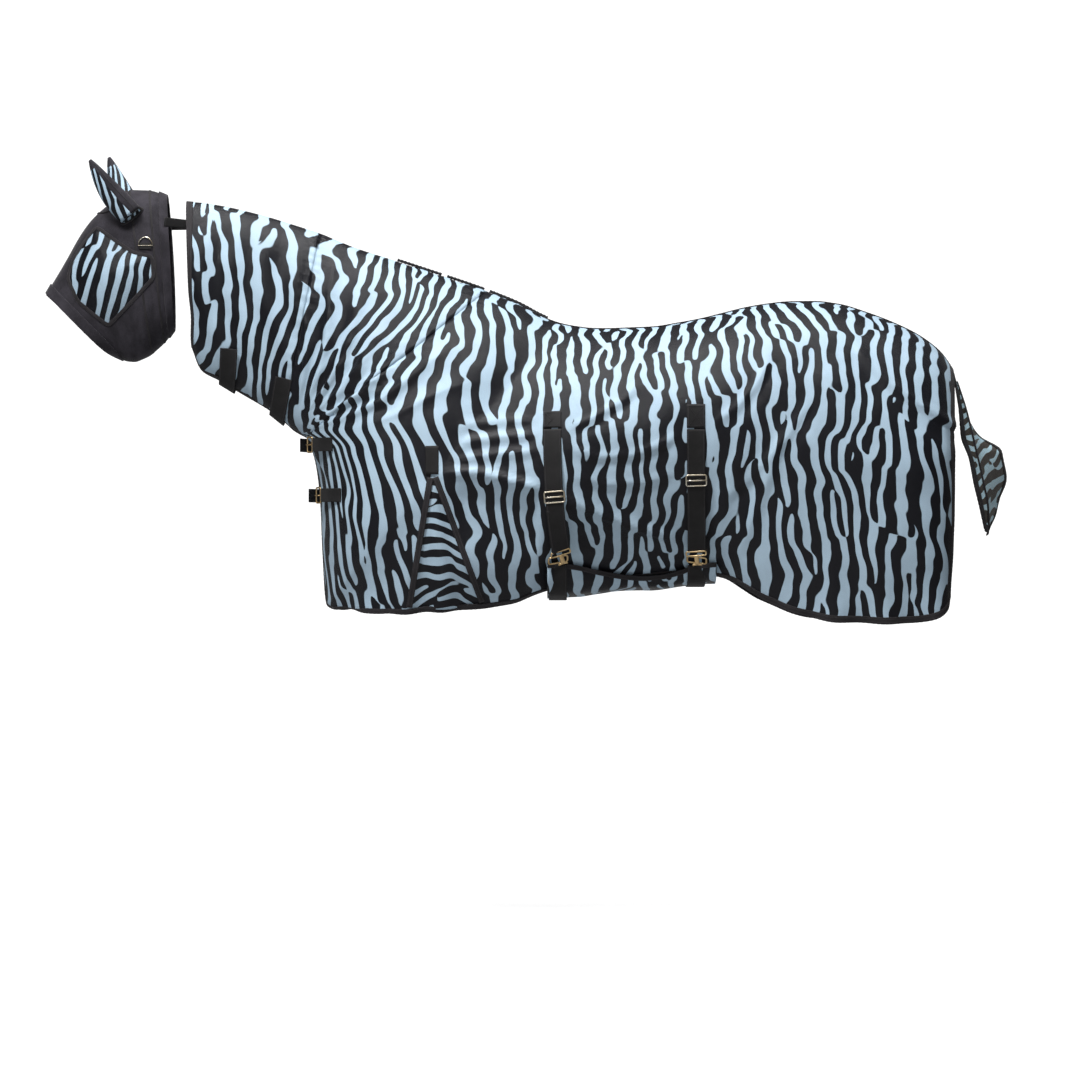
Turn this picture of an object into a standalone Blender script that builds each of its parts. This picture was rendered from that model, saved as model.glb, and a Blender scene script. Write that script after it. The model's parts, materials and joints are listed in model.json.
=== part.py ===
"""Fly sheet for a horse: body sheet, neck cover, belly flap, tail flap and eared mask.

Metres, +Z up. The horse faces -X and its left side is at -Y. The origin is where the
sheet rests on the withers. Outline points are drawn for a 1.45 m back and graded from it.
"""
import math

import bmesh
import bpy
import numpy as np
from mathutils import Matrix, Vector
from mathutils.bvhtree import BVHTree

# Driving dimensions of the sheet.
BACK_LENGTH = 1.45
SHEET_DROP = 0.84
BARREL_HALF_WIDTH = 0.325
DRAWN_BACK_LENGTH = 1.45
DRAWN_DROP = 0.84
DRAWN_HALF_WIDTH = 0.325

# Cloth and trim.
CLOTH = 0.002
GAP = 0.0004
TAPE = 0.0014
BINDING_WIDTH = 0.014
SPINE_TAPE_WIDTH = 0.025
ELASTIC_WIDTH = 0.018
ELASTIC_HEIGHT = 0.007
GUSSET_TAPE_WIDTH = 0.014
SPREAD = 0.0014

# Straps and hardware.
WEBBING_WIDTH = 0.050
WEBBING = 0.002
METAL = 0.004
SLIDER_HEIGHT = 0.034
SLIDER_OVERHANG = 0.001
HOOK_HEIGHT = 0.036
EYE_HEIGHT = 0.026
EYE_WINDOW = 0.034
FLAP_SLACK = 0.0009
SWING_GAP = 0.0030
CHEST_STRAP_WIDTH = 0.038
THROAT_STRAP_WIDTH = 0.050
POLL_STRAP_WIDTH = 0.025
D_RING_WIDTH = 0.039
D_RING_WIRE = 0.003
STRAP_STANDOFF = 0.024
EAR_BASE_RADIUS = 0.034
EAR_CLOTH = 0.0025

# Body sheet and neck: crest x z, edge x z, half width, widest line as a share of the
# drop, half width at the edge, and roundness (0.5 round under, 1 hanging free).
STATIONS = (
    (-1.025, 0.336, -1.010, -0.070, 0.082, 0.50, 0.004, 0.50),
    (-0.985, 0.333, -0.983, -0.134, 0.087, 0.50, 0.004, 0.50),
    (-0.916, 0.322, -0.927, -0.166, 0.092, 0.50, 0.004, 0.50),
    (-0.812, 0.297, -0.868, -0.202, 0.100, 0.50, 0.004, 0.50),
    (-0.720, 0.269, -0.798, -0.243, 0.108, 0.50, 0.004, 0.50),
    (-0.650, 0.246, -0.750, -0.280, 0.118, 0.50, 0.004, 0.50),
    (-0.563, 0.210, -0.722, -0.305, 0.135, 0.50, 0.004, 0.50),
    (-0.410, 0.160, -0.703, -0.316, 0.170, 0.52, 0.004, 0.50),
    (-0.185, 0.084, -0.688, -0.324, 0.225, 0.55, 0.004, 0.50),
    (-0.092, 0.046, -0.662, -0.400, 0.262, 0.56, 0.004, 0.50),
    (-0.040, 0.018, -0.650, -0.500, 0.285, 0.57, 0.005, 0.52),
    (0.000, 0.000, -0.643, -0.650, 0.300, 0.56, 0.012, 0.56),
    (0.035, -0.010, -0.630, -0.792, 0.308, 0.54, 0.045, 0.70),
    (0.070, -0.016, -0.550, -0.808, 0.312, 0.52, 0.150, 0.90),
    (0.105, -0.020, -0.460, -0.815, 0.316, 0.50, 0.215, 1.00),
    (0.150, -0.021, -0.360, -0.812, 0.320, 0.48, 0.225, 1.00),
    (0.210, -0.019, -0.240, -0.806, 0.324, 0.46, 0.205, 1.00),
    (0.280, -0.016, -0.120, -0.786, 0.326, 0.45, 0.170, 0.90),
    (0.345, -0.006, -0.010, -0.748, 0.326, 0.44, 0.130, 0.80),
    (0.410, 0.006, 0.110, -0.724, 0.326, 0.43, 0.110, 0.75),
    (0.475, 0.022, 0.240, -0.712, 0.325, 0.43, 0.105, 0.75),
    (0.540, 0.038, 0.370, -0.700, 0.324, 0.43, 0.110, 0.75),
    (0.600, 0.048, 0.480, -0.716, 0.322, 0.44, 0.150, 0.80),
    (0.660, 0.054, 0.585, -0.776, 0.318, 0.46, 0.205, 0.90),
    (0.730, 0.055, 0.690, -0.820, 0.312, 0.48, 0.240, 1.00),
    (0.800, 0.047, 0.790, -0.836, 0.305, 0.50, 0.252, 1.00),
    (0.880, 0.023, 0.890, -0.840, 0.295, 0.52, 0.250, 1.00),
    (0.960, -0.008, 0.980, -0.840, 0.280, 0.52, 0.240, 1.00),
    (1.030, -0.044, 1.050, -0.828, 0.258, 0.52, 0.225, 1.00),
    (1.085, -0.088, 1.090, -0.800, 0.228, 0.50, 0.205, 1.00),
    (1.116, -0.130, 1.104, -0.768, 0.195, 0.48, 0.180, 1.00),
)
NECK_SEAM = 5.0
BODY_SEAM = 8.0
REAR = float(len(STATIONS) - 1)
ROWS = 16

# Outlines on the left side, x and z.
GUSSET_APEX = (-0.333, -0.412)
GUSSET_FRONT = (-0.398, -0.800)
GUSSET_BACK = (-0.196, -0.784)
APEX_PATCH = ((-0.350, -0.360), (-0.333, -0.348), (-0.316, -0.360), (-0.312, -0.426), (-0.352, -0.426))
STRAPS = {
    "front": {"x": -0.003, "top": -0.258, "box": 0.045, "seat": 0.0006, "slider": -0.500,
              "end": -0.628, "lean": 0.016, "hook_gap": 0.0012},
    "rear": {"x": 0.391, "top": -0.238, "box": 0.065, "seat": 0.0020, "slider": -0.448,
             "end": -0.628, "lean": 0.006, "hook_gap": 0.0018},
}
FLAP_EDGE = ((-0.020, -0.672), (0.050, -0.676), (0.120, -0.694), (0.200, -0.722), (0.246, -0.730),
             (0.300, -0.717), (0.353, -0.690), (0.400, -0.672), (0.455, -0.668))
FLAP_BOTTOM = (-0.774, -0.770, -0.760, -0.752, -0.750, -0.747, -0.741, -0.735, -0.732)
FLAP_SEAM_Z = -0.640
FLAP_STANDOFF = 0.011
CHEST_STRAPS = {"upper": (-0.345, -0.684), "lower": (-0.486, -0.660)}
CHEST_SEWN = 0.075
CHEST_BOW = 0.024
BUCKLE_LENGTH = 0.028
THROAT_SAG = 0.008
THROAT_TOP = 0.70
THROAT_STRAPS = {"front": 2.35, "rear": 4.60}

# Mask: brow x z, jaw x z and half width of each ring round the head.
RINGS = (
    (-1.078, 0.350, -1.060, -0.022, 0.080),
    (-1.125, 0.366, -1.085, -0.055, 0.092),
    (-1.175, 0.368, -1.115, -0.083, 0.099),
    (-1.235, 0.332, -1.145, -0.103, 0.102),
    (-1.288, 0.286, -1.170, -0.112, 0.099),
    (-1.332, 0.222, -1.192, -0.109, 0.092),
    (-1.374, 0.150, -1.208, -0.104, 0.084),
    (-1.418, 0.075, -1.222, -0.099, 0.077),
)
EYE_OUTLINE = ((-1.272, 0.262), (-1.218, 0.222), (-1.170, 0.190), (-1.116, 0.178), (-1.112, 0.120),
               (-1.175, 0.050), (-1.238, -0.014), (-1.288, 0.025), (-1.324, 0.055), (-1.352, 0.118),
               (-1.338, 0.172), (-1.305, 0.222))
EYE_DOME = 0.018
EYE_MARGIN = 0.0008
MASK_SIDES = 24
FORELOCK_PLACE = (-1.232, 0.352)
FORELOCK_SIZE = (0.042, 0.052, 0.040)
EAR_TIP_Y = 0.120
EAR_SIDES = 12
EAR_FLATNESS = 0.62
EAR_DROP = 0.012
D_RING_PLACE = (-1.135, 0.206)
POLL_STRAP_Z = 0.272
POLL_TUCK = 0.009
EAR_BASE = (-1.172, 0.290)
EAR_TIPS = {"left": (-1.287, 0.445), "right": (-1.252, 0.468)}

# Tail flap: inner edge, ridge and free edge from the tail set down, each x y z.
TAIL_INNER = ((1.1167, -0.030, -0.1358), (1.130, -0.090, -0.250), (1.134, -0.112, -0.320), (1.156, -0.118, -0.384),
              (1.170, -0.118, -0.456), (1.184, -0.112, -0.512), (1.201, -0.100, -0.585))
TAIL_RIDGE = ((1.1170, 0.000, -0.1312), (1.152, -0.050, -0.250), (1.166, -0.070, -0.312), (1.184, -0.080, -0.392),
              (1.198, -0.082, -0.456), (1.210, -0.078, -0.518), (1.213, -0.070, -0.590))
TAIL_FREE = ((1.1167, 0.034, -0.1358), (1.150, 0.060, -0.240), (1.200, 0.075, -0.318), (1.262, 0.085, -0.362),
             (1.274, 0.088, -0.431), (1.252, 0.070, -0.510), (1.216, 0.010, -0.598))

FINISHES = {
    "mesh_cloth": ((0.35, 0.50, 0.58, 1), 0.8, 0.0),
    "binding": ((0.03, 0.027, 0.03, 1), 0.75, 0.0),
    "webbing": ((0.015, 0.014, 0.015, 1), 0.8, 0.0),
    "fleece": ((0.028, 0.025, 0.03, 1), 0.9, 0.0),
    "nickel": ((0.62, 0.58, 0.50, 1), 0.28, 1.0),
}


def clear_scene():
    """Removes whatever the scene starts with."""
    for thing in list(bpy.data.objects):
        bpy.data.objects.remove(thing, do_unlink=True)


def new_collection(name):
    """A collection linked into the scene."""
    made = bpy.data.collections.new(name)
    bpy.context.scene.collection.children.link(made)
    return made


def graded(x, z):
    """An outline point at the chosen back length and drop."""
    return x * BACK_LENGTH / DRAWN_BACK_LENGTH, z * SHEET_DROP / DRAWN_DROP


def through(points, count):
    """A smooth line with count points through the given ones, never overshooting them."""
    table = np.array(points, float)
    knots = np.arange(len(table), dtype=float)
    return [Vector(eased(knots, table, at)) for at in np.linspace(0, knots[-1], count)]


def eased(knots, table, at):
    """Monotone cubic interpolation of each column of table."""
    steps = np.diff(knots)
    rise = np.diff(table, axis=0) / steps[:, None]
    slope = np.zeros_like(table)
    slope[0] = rise[0]
    slope[-1] = rise[-1]
    product = rise[:-1] * rise[1:]
    total = rise[:-1] + rise[1:]
    safe = np.where(np.abs(total) < 1e-12, 1.0, total)
    slope[1:-1] = np.where(product > 0, 2 * product / safe, 0)
    i = int(min(max(math.floor(at - knots[0]), 0), len(steps) - 1))
    h = steps[i]
    s = (at - knots[i]) / h
    return ((1 + 2 * s) * (1 - s) ** 2 * table[i] + s * (1 - s) ** 2 * h * slope[i]
            + s * s * (3 - 2 * s) * table[i + 1] + s * s * (s - 1) * h * slope[i + 1])


def skin(u, v, side):
    """Point of the sheet: u runs from the poll to the tail, v from the crest to the edge."""
    x0, z0, x1, z1, wide, waist, edge, power = eased(np.arange(len(STATIONS), dtype=float),
                                                     np.array(STATIONS), u)
    width = BARREL_HALF_WIDTH / DRAWN_HALF_WIDTH
    if v < 0.5:
        turn = math.pi * v
        out = wide * math.sin(turn)
        down = waist * (1 - math.cos(turn))
    else:
        fall = math.sin(math.pi * (v - 0.5))
        out = edge + (wide - edge) * max(1 - fall * fall, 0) ** power
        down = waist + (1 - waist) * fall
    x, z = graded(x0 + (x1 - x0) * down, z0 + (z1 - z0) * down)
    return Vector((x, side * (GAP + out * width), z))


def normal_at(u, v, side):
    """Outward direction of the sheet at a point."""
    step = 0.02
    along = skin(min(u + step, REAR), v, side) - skin(max(u - step, 0), v, side)
    across = skin(u, min(v + step, 1), side) - skin(u, max(v - step, 0), side)
    out = along.cross(across) * side
    return out.normalized() if out.length else Vector((0, 0, 1))


def finish(name):
    """The material of that name, made once."""
    found = bpy.data.materials.get(name)
    if found:
        return found
    colour, roughness, metallic = FINISHES[name]
    made = bpy.data.materials.new(name)
    made.use_nodes = True
    shader = made.node_tree.nodes["Principled BSDF"]
    shader.inputs["Base Color"].default_value = colour
    shader.inputs["Roughness"].default_value = roughness
    shader.inputs["Metallic"].default_value = metallic
    return made


def add_mesh(name, vertices, faces, look, collection):
    """An object from points and faces."""
    mesh = bpy.data.meshes.new(name)
    mesh.from_pydata([tuple(v) for v in vertices], [], faces)
    mesh.materials.append(finish(look))
    made = bpy.data.objects.new(name, mesh)
    collection.objects.link(made)
    return made


def thicken(made, thickness):
    """Turns an open surface into a shell, half its thickness to each side."""
    shell = made.modifiers.new("Solidify", "SOLIDIFY")
    shell.thickness = thickness
    shell.offset = 0
    return made


def loft(name, rows, thickness, look, loop=False):
    """A shell through rows of points. A loop joins the last point of each row to its first."""
    across = len(rows[0])
    vertices = [point for row in rows for point in row]
    faces = []
    for i in range(len(rows) - 1):
        for j in range(across if loop else across - 1):
            k = (j + 1) % across
            faces.append((i * across + j, i * across + k, (i + 1) * across + k, (i + 1) * across + j))
    return thicken(add_mesh(name, vertices, faces, look, PARTS), thickness)


def band(name, path, normals, width, thickness, look, lift):
    """A flat tape along a path, raised off it to its middle by lift, one height or one a point."""
    rows = []
    last = len(path) - 1
    lifts = lift if isinstance(lift, list) else [lift] * len(path)
    for i, point in enumerate(path):
        along = (path[min(i + 1, last)] - path[max(i - 1, 0)]).normalized()
        sideways = along.cross(normals[i]).normalized() * width / 2
        centre = point + normals[i] * lifts[i]
        rows.append((centre - sideways, centre + sideways))
    return loft(name, rows, thickness, look)


def moved_origin(made, pivot):
    """Puts the object's origin on a joint without moving its surface."""
    made.data.transform(Matrix.Translation(-pivot))
    made.location = pivot
    return made


def box(name, size, matrix, look):
    """A block with its sides along the matrix's axes."""
    mesh = bpy.data.meshes.new(name)
    cube = bmesh.new()
    bmesh.ops.create_cube(cube, size=1)
    bmesh.ops.scale(cube, vec=size, verts=cube.verts)
    cube.to_mesh(mesh)
    cube.free()
    made = bpy.data.objects.new(name, mesh)
    made.matrix_world = matrix
    if look:
        mesh.materials.append(finish(look))
        PARTS.objects.link(made)
    else:
        hide_cutter(made)
    return made


def hide_cutter(made):
    """Keeps a cutter out of the model."""
    made.display_type = "WIRE"
    made.hide_render = True
    CUTTERS.objects.link(made)


def combine(made, other, operation):
    """Boolean of one object with another."""
    step = made.modifiers.new(operation, "BOOLEAN")
    step.operation = operation
    step.solver = "EXACT"
    step.object = other
    return made


def prism(name, outline, near, far):
    """A cutter: the x z outline run from one y to another."""
    count = len(outline)
    vertices = [(x, near, z) for x, z in outline] + [(x, far, z) for x, z in outline]
    faces = [tuple(range(count)), tuple(range(2 * count - 1, count - 1, -1))]
    faces += [(i, i + count, (i + 1) % count + count, (i + 1) % count) for i in range(count)]
    mesh = bpy.data.meshes.new(name)
    mesh.from_pydata(vertices, [], faces)
    solid = bmesh.new()
    solid.from_mesh(mesh)
    bmesh.ops.recalc_face_normals(solid, faces=solid.faces)
    solid.to_mesh(mesh)
    solid.free()
    made = bpy.data.objects.new(name, mesh)
    hide_cutter(made)
    return made


def surface_tree(rows, loop=False):
    """Something to drop points onto, from rows of points."""
    across = len(rows[0])
    faces = []
    for i in range(len(rows) - 1):
        for j in range(across if loop else across - 1):
            k = (j + 1) % across
            faces.append((i * across + j, i * across + k, (i + 1) * across + k, (i + 1) * across + j))
    return BVHTree.FromPolygons([p for row in rows for p in row], faces)


def cast(tree, x, z, side):
    """Where a line through x z first meets the left surface, mirrored for the right."""
    hit, normal, _, _ = tree.ray_cast(Vector((x, -2, z)), Vector((0, 1, 0)))
    if hit is None:
        hit, normal, _, _ = tree.find_nearest(Vector((x, -0.2, z)))
    if normal.y > 0:
        normal = -normal
    return Vector((hit.x, -side * hit.y, hit.z)), Vector((normal.x, -side * normal.y, normal.z))


def on_sheet(points, side):
    """Points and normals on the sheet below graded x z points."""
    found = [cast(SHEET_TREE, *graded(x, z), side) for x, z in points]
    return [p for p, _ in found], [n for _, n in found]


def rings_of(outline, rings, tree, dome, lift, side, grade):
    """Concentric rings of points inside an outline, laid on a surface and domed outwards."""
    middle = np.mean(np.array(outline), axis=0)
    rows = []
    for ring in range(rings + 1):
        share = max(ring / rings, 0.02)
        row = []
        for x, z in outline:
            at = (middle[0] + (x - middle[0]) * share, middle[1] + (z - middle[1]) * share)
            point, normal = cast(tree, *(graded(*at) if grade else at), side)
            row.append(point + normal * (lift + dome * (1 - share * share)))
        rows.append(row)
    return rows


def disc(name, rows, thickness, look):
    """A shell from concentric rings, closed in the middle."""
    across = len(rows[0])
    vertices = [point for row in rows for point in row]
    faces = [tuple(reversed(range(across)))]
    for i in range(len(rows) - 1):
        for j in range(across):
            k = (j + 1) % across
            faces.append((i * across + j, i * across + k, (i + 1) * across + k, (i + 1) * across + j))
    made = add_mesh(name, vertices, faces, look, PARTS)
    return thicken(made, thickness)


def divided(outline, pieces):
    """An outline with each side cut into pieces."""
    made = []
    for i, (x, z) in enumerate(outline):
        x1, z1 = outline[(i + 1) % len(outline)]
        made += [(x + (x1 - x) * k / pieces, z + (z1 - z) * k / pieces) for k in range(pieces)]
    return made


def shrunk(outline, margin):
    """An outline drawn in by a margin towards its middle."""
    middle = np.mean(np.array(outline), axis=0)
    made = []
    for point in outline:
        arm = np.array(point) - middle
        made.append(tuple(middle + arm * (1 - margin / np.linalg.norm(arm))))
    return made


def panel_rows(start, end, columns, side, rows=ROWS):
    """Rows of points of one panel, between two seams."""
    return [[skin(u, v, side) for v in np.linspace(0, 1, rows + 1)]
            for u in np.linspace(start, end, columns + 1)]


def seam_gap(u):
    """How far to move u for the half gap between two panels that meet at a seam."""
    reach = (skin(u + 0.1, 0.5, -1) - skin(u - 0.1, 0.5, -1)).length / 0.2
    return 2.8 * GAP / reach


BODY_COLUMNS = 32
NECK_FRONT_COLUMNS = 7
NECK_REAR_COLUMNS = 5


def make_panels():
    """The two neck panels and the body panel of each side."""
    for label, side in SIDES:
        front = panel_rows(0, NECK_SEAM - seam_gap(NECK_SEAM), NECK_FRONT_COLUMNS, side)
        loft(f"neck_front_panel_{label}", front, CLOTH, "mesh_cloth")
        rear = panel_rows(NECK_SEAM + seam_gap(NECK_SEAM), BODY_SEAM - seam_gap(BODY_SEAM),
                          NECK_REAR_COLUMNS, side)
        loft(f"neck_rear_panel_{label}", rear, CLOTH, "mesh_cloth")
        body = loft(f"body_panel_{label}", panel_rows(BODY_SEAM + seam_gap(BODY_SEAM), REAR, BODY_COLUMNS, side),
                    CLOTH, "mesh_cloth")
        apex, front_foot, back_foot = (graded(*p) for p in (GUSSET_APEX, GUSSET_FRONT, GUSSET_BACK))
        beyond = 1.25
        outline = (apex, lerp(apex, front_foot, beyond), lerp(apex, back_foot, beyond))
        ends = sorted((side * 0.05, side * 1.0))
        combine(body, prism(f"gusset_slot_{label}", outline, *ends), "DIFFERENCE")


def columns_between(start, end, columns):
    """The u of each column of a panel."""
    return list(np.linspace(start, end, columns + 1))


def binding_along(name, points, inward, outward, width, gap=SPREAD + TAPE * 0.35):
    """A binding outside the cloth: each point with its inward direction and its outward one."""
    rows = []
    for point, into, out in zip(points, inward, outward):
        base = point + out * (CLOTH / 2 + gap + TAPE / 2)
        rows.append((base, base + into * width))
    return loft(name, rows, TAPE, "binding")


def edge_frame(u, v, side, along_u):
    """Point, direction into the cloth and outward direction at an edge of the sheet."""
    point = skin(u, v, side)
    out = normal_at(u, v, side)
    if along_u:
        into = skin(u, 0.97, side) - point
    else:
        step = 0.05 if u < REAR / 2 else -0.05
        into = skin(u + step, v, side) - point
    into -= out * into.dot(out)
    return point, into.normalized(), out


def make_bindings():
    """Bindings round the neck cover and round the body sheet, one on each side of each."""
    for label, side in SIDES:
        stops = [edge_frame(0, v, side, False) for v in np.linspace(0, 0.93, 14)]
        stops += [edge_frame(u, 1, side, True) for u in columns_between(0, NECK_SEAM, NECK_FRONT_COLUMNS)[1:]]
        stops += [edge_frame(u, 1, side, True)
                  for u in columns_between(NECK_SEAM, BODY_SEAM, NECK_REAR_COLUMNS)[1:]]
        stops[-1] = edge_frame(BODY_SEAM - 0.2, 1, side, True)
        binding_along(f"neck_binding_{label}", *zip(*stops), BINDING_WIDTH)
        stops = [edge_frame(u, 1, side, True)
                 for u in columns_between(BODY_SEAM, REAR, BODY_COLUMNS)[1:-1]]
        stops += [edge_frame(REAR, v, side, False) for v in np.linspace(0.97, 0.06, 15)]
        binding_along(f"hem_binding_{label}", *zip(*stops), BINDING_WIDTH)


def make_crest():
    """Spine tape from the withers to the tail, and the two elastics along the neck."""
    lift = CLOTH / 2 + GAP + TAPE / 2
    path = [skin(u, 0, 1) for u in columns_between(BODY_SEAM, REAR, BODY_COLUMNS)][:-1]
    path = [Vector((p.x, 0, p.z)) for p in path]
    band("spine_tape", path, upright(path), SPINE_TAPE_WIDTH, TAPE, "binding", lift)
    spans = {"crest_elastic_front": (6.9, 7.4), "crest_elastic_rear": (7.5, BODY_SEAM - 0.06)}
    for name, (start, end) in spans.items():
        path = [Vector((p.x, 0, p.z)) for p in (skin(u, 0, 1) for u in np.linspace(start, end, 9))]
        band(name, path, upright(path), ELASTIC_WIDTH, ELASTIC_HEIGHT, "webbing",
             CLOTH / 2 + GAP + ELASTIC_HEIGHT / 2)


def upright(path):
    """Upward normals of a path in the middle plane."""
    last = len(path) - 1
    made = []
    for i in range(len(path)):
        along = path[min(i + 1, last)] - path[max(i - 1, 0)]
        made.append(Vector((-along.z, 0, along.x)).normalized())
    return made


def make_gussets():
    """Shoulder gussets behind their slots, with tapes down both seams and a patch at the top."""
    for label, side in SIDES:
        outline = divided((GUSSET_APEX, GUSSET_FRONT, GUSSET_BACK), 5)
        rows = rings_of(shrunk(outline, 0.003), 3, SHEET_TREE, 0, 0, side, True)
        disc(f"shoulder_gusset_{label}", rows, CLOTH, "mesh_cloth")
        legs = [lerp(GUSSET_FRONT, GUSSET_APEX, s) for s in np.linspace(0.06, 0.82, 14)]
        path, normals = on_sheet(legs, side)
        lift = CLOTH / 2 + SPREAD + TAPE + GAP
        band(f"gusset_tape_front_{label}", path, normals, GUSSET_TAPE_WIDTH, TAPE, "binding", lift)
        legs = [lerp(GUSSET_BACK, GUSSET_APEX, s) for s in np.linspace(0.06, 0.82, 14)]
        path, normals = on_sheet(legs, side)
        band(f"gusset_tape_rear_{label}", path, normals, GUSSET_TAPE_WIDTH, TAPE, "binding", lift - TAPE)
        rows = rings_of(APEX_PATCH, 1, SHEET_TREE, 0, CLOTH / 2 + SPREAD + TAPE / 2, side, True)
        disc(f"apex_patch_{label}", rows, TAPE, "binding")


def lerp(a, b, share):
    """The point a share of the way from a to b."""
    return tuple(p + (q - p) * share for p, q in zip(a, b))


def placed(point, x, y, z):
    """A matrix with these axes at a point."""
    matrix = Matrix((x, y, z)).transposed().to_4x4()
    matrix.translation = point
    return matrix


def hung_frame(point, out, up):
    """A matrix with Z exactly up along a strap and Y out of it."""
    z = up.normalized()
    y = (out - z * out.dot(z)).normalized()
    return placed(point, y.cross(z), y, z)


def seated_frame(point, out, up):
    """A matrix with Y exactly out of a surface and Z up along it."""
    y = out.normalized()
    z = (up - y * up.dot(y)).normalized()
    return placed(point, y.cross(z), y, z)


def window_plate(name, width, height, windows, matrix):
    """A metal plate with rectangular windows, each as x z middle and width height."""
    plate = box(name, (width, METAL, height), matrix, "nickel")
    for i, (x, z, w, h) in enumerate(windows):
        cutter = box(f"{name}_window_{i}", (w, METAL * 3, h), matrix @ Matrix.Translation((x, 0, z)), None)
        combine(plate, cutter, "DIFFERENCE")
    return plate


def make_straps():
    """The two surcingle straps with slider and T hook, on the left side."""
    for label, at in STRAPS.items():
        slope = [(at["x"], z) for z in np.linspace(at["top"], at["top"] - at["box"], 3)]
        path, normals = on_sheet(slope, -1)
        lift = CLOTH / 2 + SPREAD + WEBBING / 2
        band(f"strap_box_{label}", path, normals, WEBBING_WIDTH, WEBBING, "webbing",
             CLOTH / 2 + at["seat"] + WEBBING / 2)
        drop = np.linspace(at["top"] - at["box"] - SWING_GAP, at["end"], 15)
        line = [(at["x"] + at["lean"] * ((z - drop[0]) / (drop[-1] - drop[0])) ** 2, z) for z in drop]
        path, normals = on_sheet(line, -1)
        normals = steadied(normals)
        base = CLOTH / 2 + SPREAD + WEBBING / 2
        lifts = [base + STRAP_STANDOFF * (i / (len(path) - 1)) ** 2 for i in range(len(path))]
        strap = band(f"surcingle_strap_{label}", path, normals, WEBBING_WIDTH, WEBBING, "webbing", lifts)
        moved_origin(strap, path[0] + normals[0] * base)
        middle = [p + n * up for p, n, up in zip(path, normals, lifts)]
        i = int(np.argmin(np.abs(drop - at["slider"])))
        matrix = hung_frame(middle[i], normals[i], middle[i - 1] - middle[i + 1])
        matrix = matrix @ Matrix.Translation((0, WEBBING / 2 + 2 * GAP + METAL / 2, 0))
        opening = (SLIDER_HEIGHT - 3 * METAL) / 2
        windows = [(0, s * (opening + METAL) / 2, WEBBING_WIDTH, opening) for s in (-1, 1)]
        window_plate(f"slider_{label}", WEBBING_WIDTH + 2 * METAL + SLIDER_OVERHANG, SLIDER_HEIGHT,
                     windows, matrix)
        make_hook(label, middle[-1], normals[-1], middle[-2] - middle[-1], at["hook_gap"])


def steadied(normals):
    """Directions averaged along a strap, as stiff webbing bridges small bends."""
    for _ in range(3):
        padded = [normals[0], *normals, normals[-1]]
        normals = [(a + 2 * b + c).normalized() for a, b, c in zip(padded, padded[1:], padded[2:])]
    return normals


def make_hook(label, point, normal, up, gap):
    """T hook hung from a strap's end, in front of the eye plate that it fastens in."""
    matrix = hung_frame(point, normal, up)
    width = WEBBING_WIDTH + 2 * METAL
    hook = box(f"strap_hook_{label}", (width, METAL, METAL * 2.2),
               matrix @ Matrix.Translation((0, 0, -METAL * 1.1 - gap)), "nickel")
    stem = box(f"hook_stem_{label}", (0.012, METAL, HOOK_HEIGHT),
               matrix @ Matrix.Translation((0, METAL * 0.2, -HOOK_HEIGHT / 2 - WEBBING - METAL * 0.5)), None)
    head = box(f"hook_head_{label}", (0.026, METAL, METAL * 2),
               matrix @ Matrix.Translation((0, METAL * 0.2, -HOOK_HEIGHT - WEBBING)), None)
    combine(hook, stem, "UNION")
    combine(hook, head, "UNION")


def flap_section(i, share):
    """A point of the belly flap: i counts along the flap, share runs from its edge to its seam."""
    x, z = FLAP_EDGE[i]
    near, normal = cast(SHEET_TREE, *graded(x, z), -1)
    near = near + normal * FLAP_STANDOFF
    far, normal = cast(SHEET_TREE, *graded(x, FLAP_SEAM_Z), 1)
    far = far + normal * (CLOTH + SPREAD)
    bottom = graded(x, FLAP_BOTTOM[i])[1]
    line = [near,
            Vector((near.x, near.y * 0.96, near.z + (bottom - near.z) * 0.45)),
            Vector((near.x, near.y * 0.76, near.z + (bottom - near.z) * 0.85)),
            Vector((near.x, near.y * 0.38, bottom + 0.002)),
            Vector((near.x, 0, bottom)),
            Vector((near.x, far.y * 0.38, bottom + 0.002)),
            Vector((near.x, far.y * 0.76, far.z + (bottom - far.z) * 0.85)),
            Vector((near.x, far.y * 0.96, far.z + (bottom - far.z) * 0.45)),
            far]
    return Vector(eased(np.arange(9.0), np.array(line), share * 8))


def make_flap():
    """Belly flap, sewn along the right side, with its edge binding, webbing and eye plates."""
    shares = np.linspace(0, 1, 13)
    rows = [[flap_section(i, s) for s in shares] for i in range(len(FLAP_EDGE))]
    flap = loft("belly_flap", rows, CLOTH, "mesh_cloth")
    pivot = rows[len(rows) // 2][-1].copy()
    pivot.y = max(row[-1].y for row in rows) + CLOTH
    pivot.z += CLOTH
    moved_origin(flap, pivot)
    points = [row[0] for row in rows]
    inward = [(row[1] - row[0]).normalized() for row in rows]
    outward = [Vector((0, a.z, -a.y)).normalized() for a in inward]
    outward = [o if o.y < 0 else -o for o in outward]
    edge = binding_along("belly_flap_binding", points, inward, outward, BINDING_WIDTH, 2 * GAP)
    moved_origin(edge, pivot)
    for label, at in STRAPS.items():
        make_belly_webbing(label, at, rows, pivot)


def flap_line(rows, x):
    """The flap's cross section at an x between two of its rows."""
    for before, after in zip(rows, rows[1:]):
        if before[0].x <= x <= after[0].x:
            share = (x - before[0].x) / (after[0].x - before[0].x)
            return [p.lerp(q, share) for p, q in zip(before, after)]
    return rows[-1]


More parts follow.
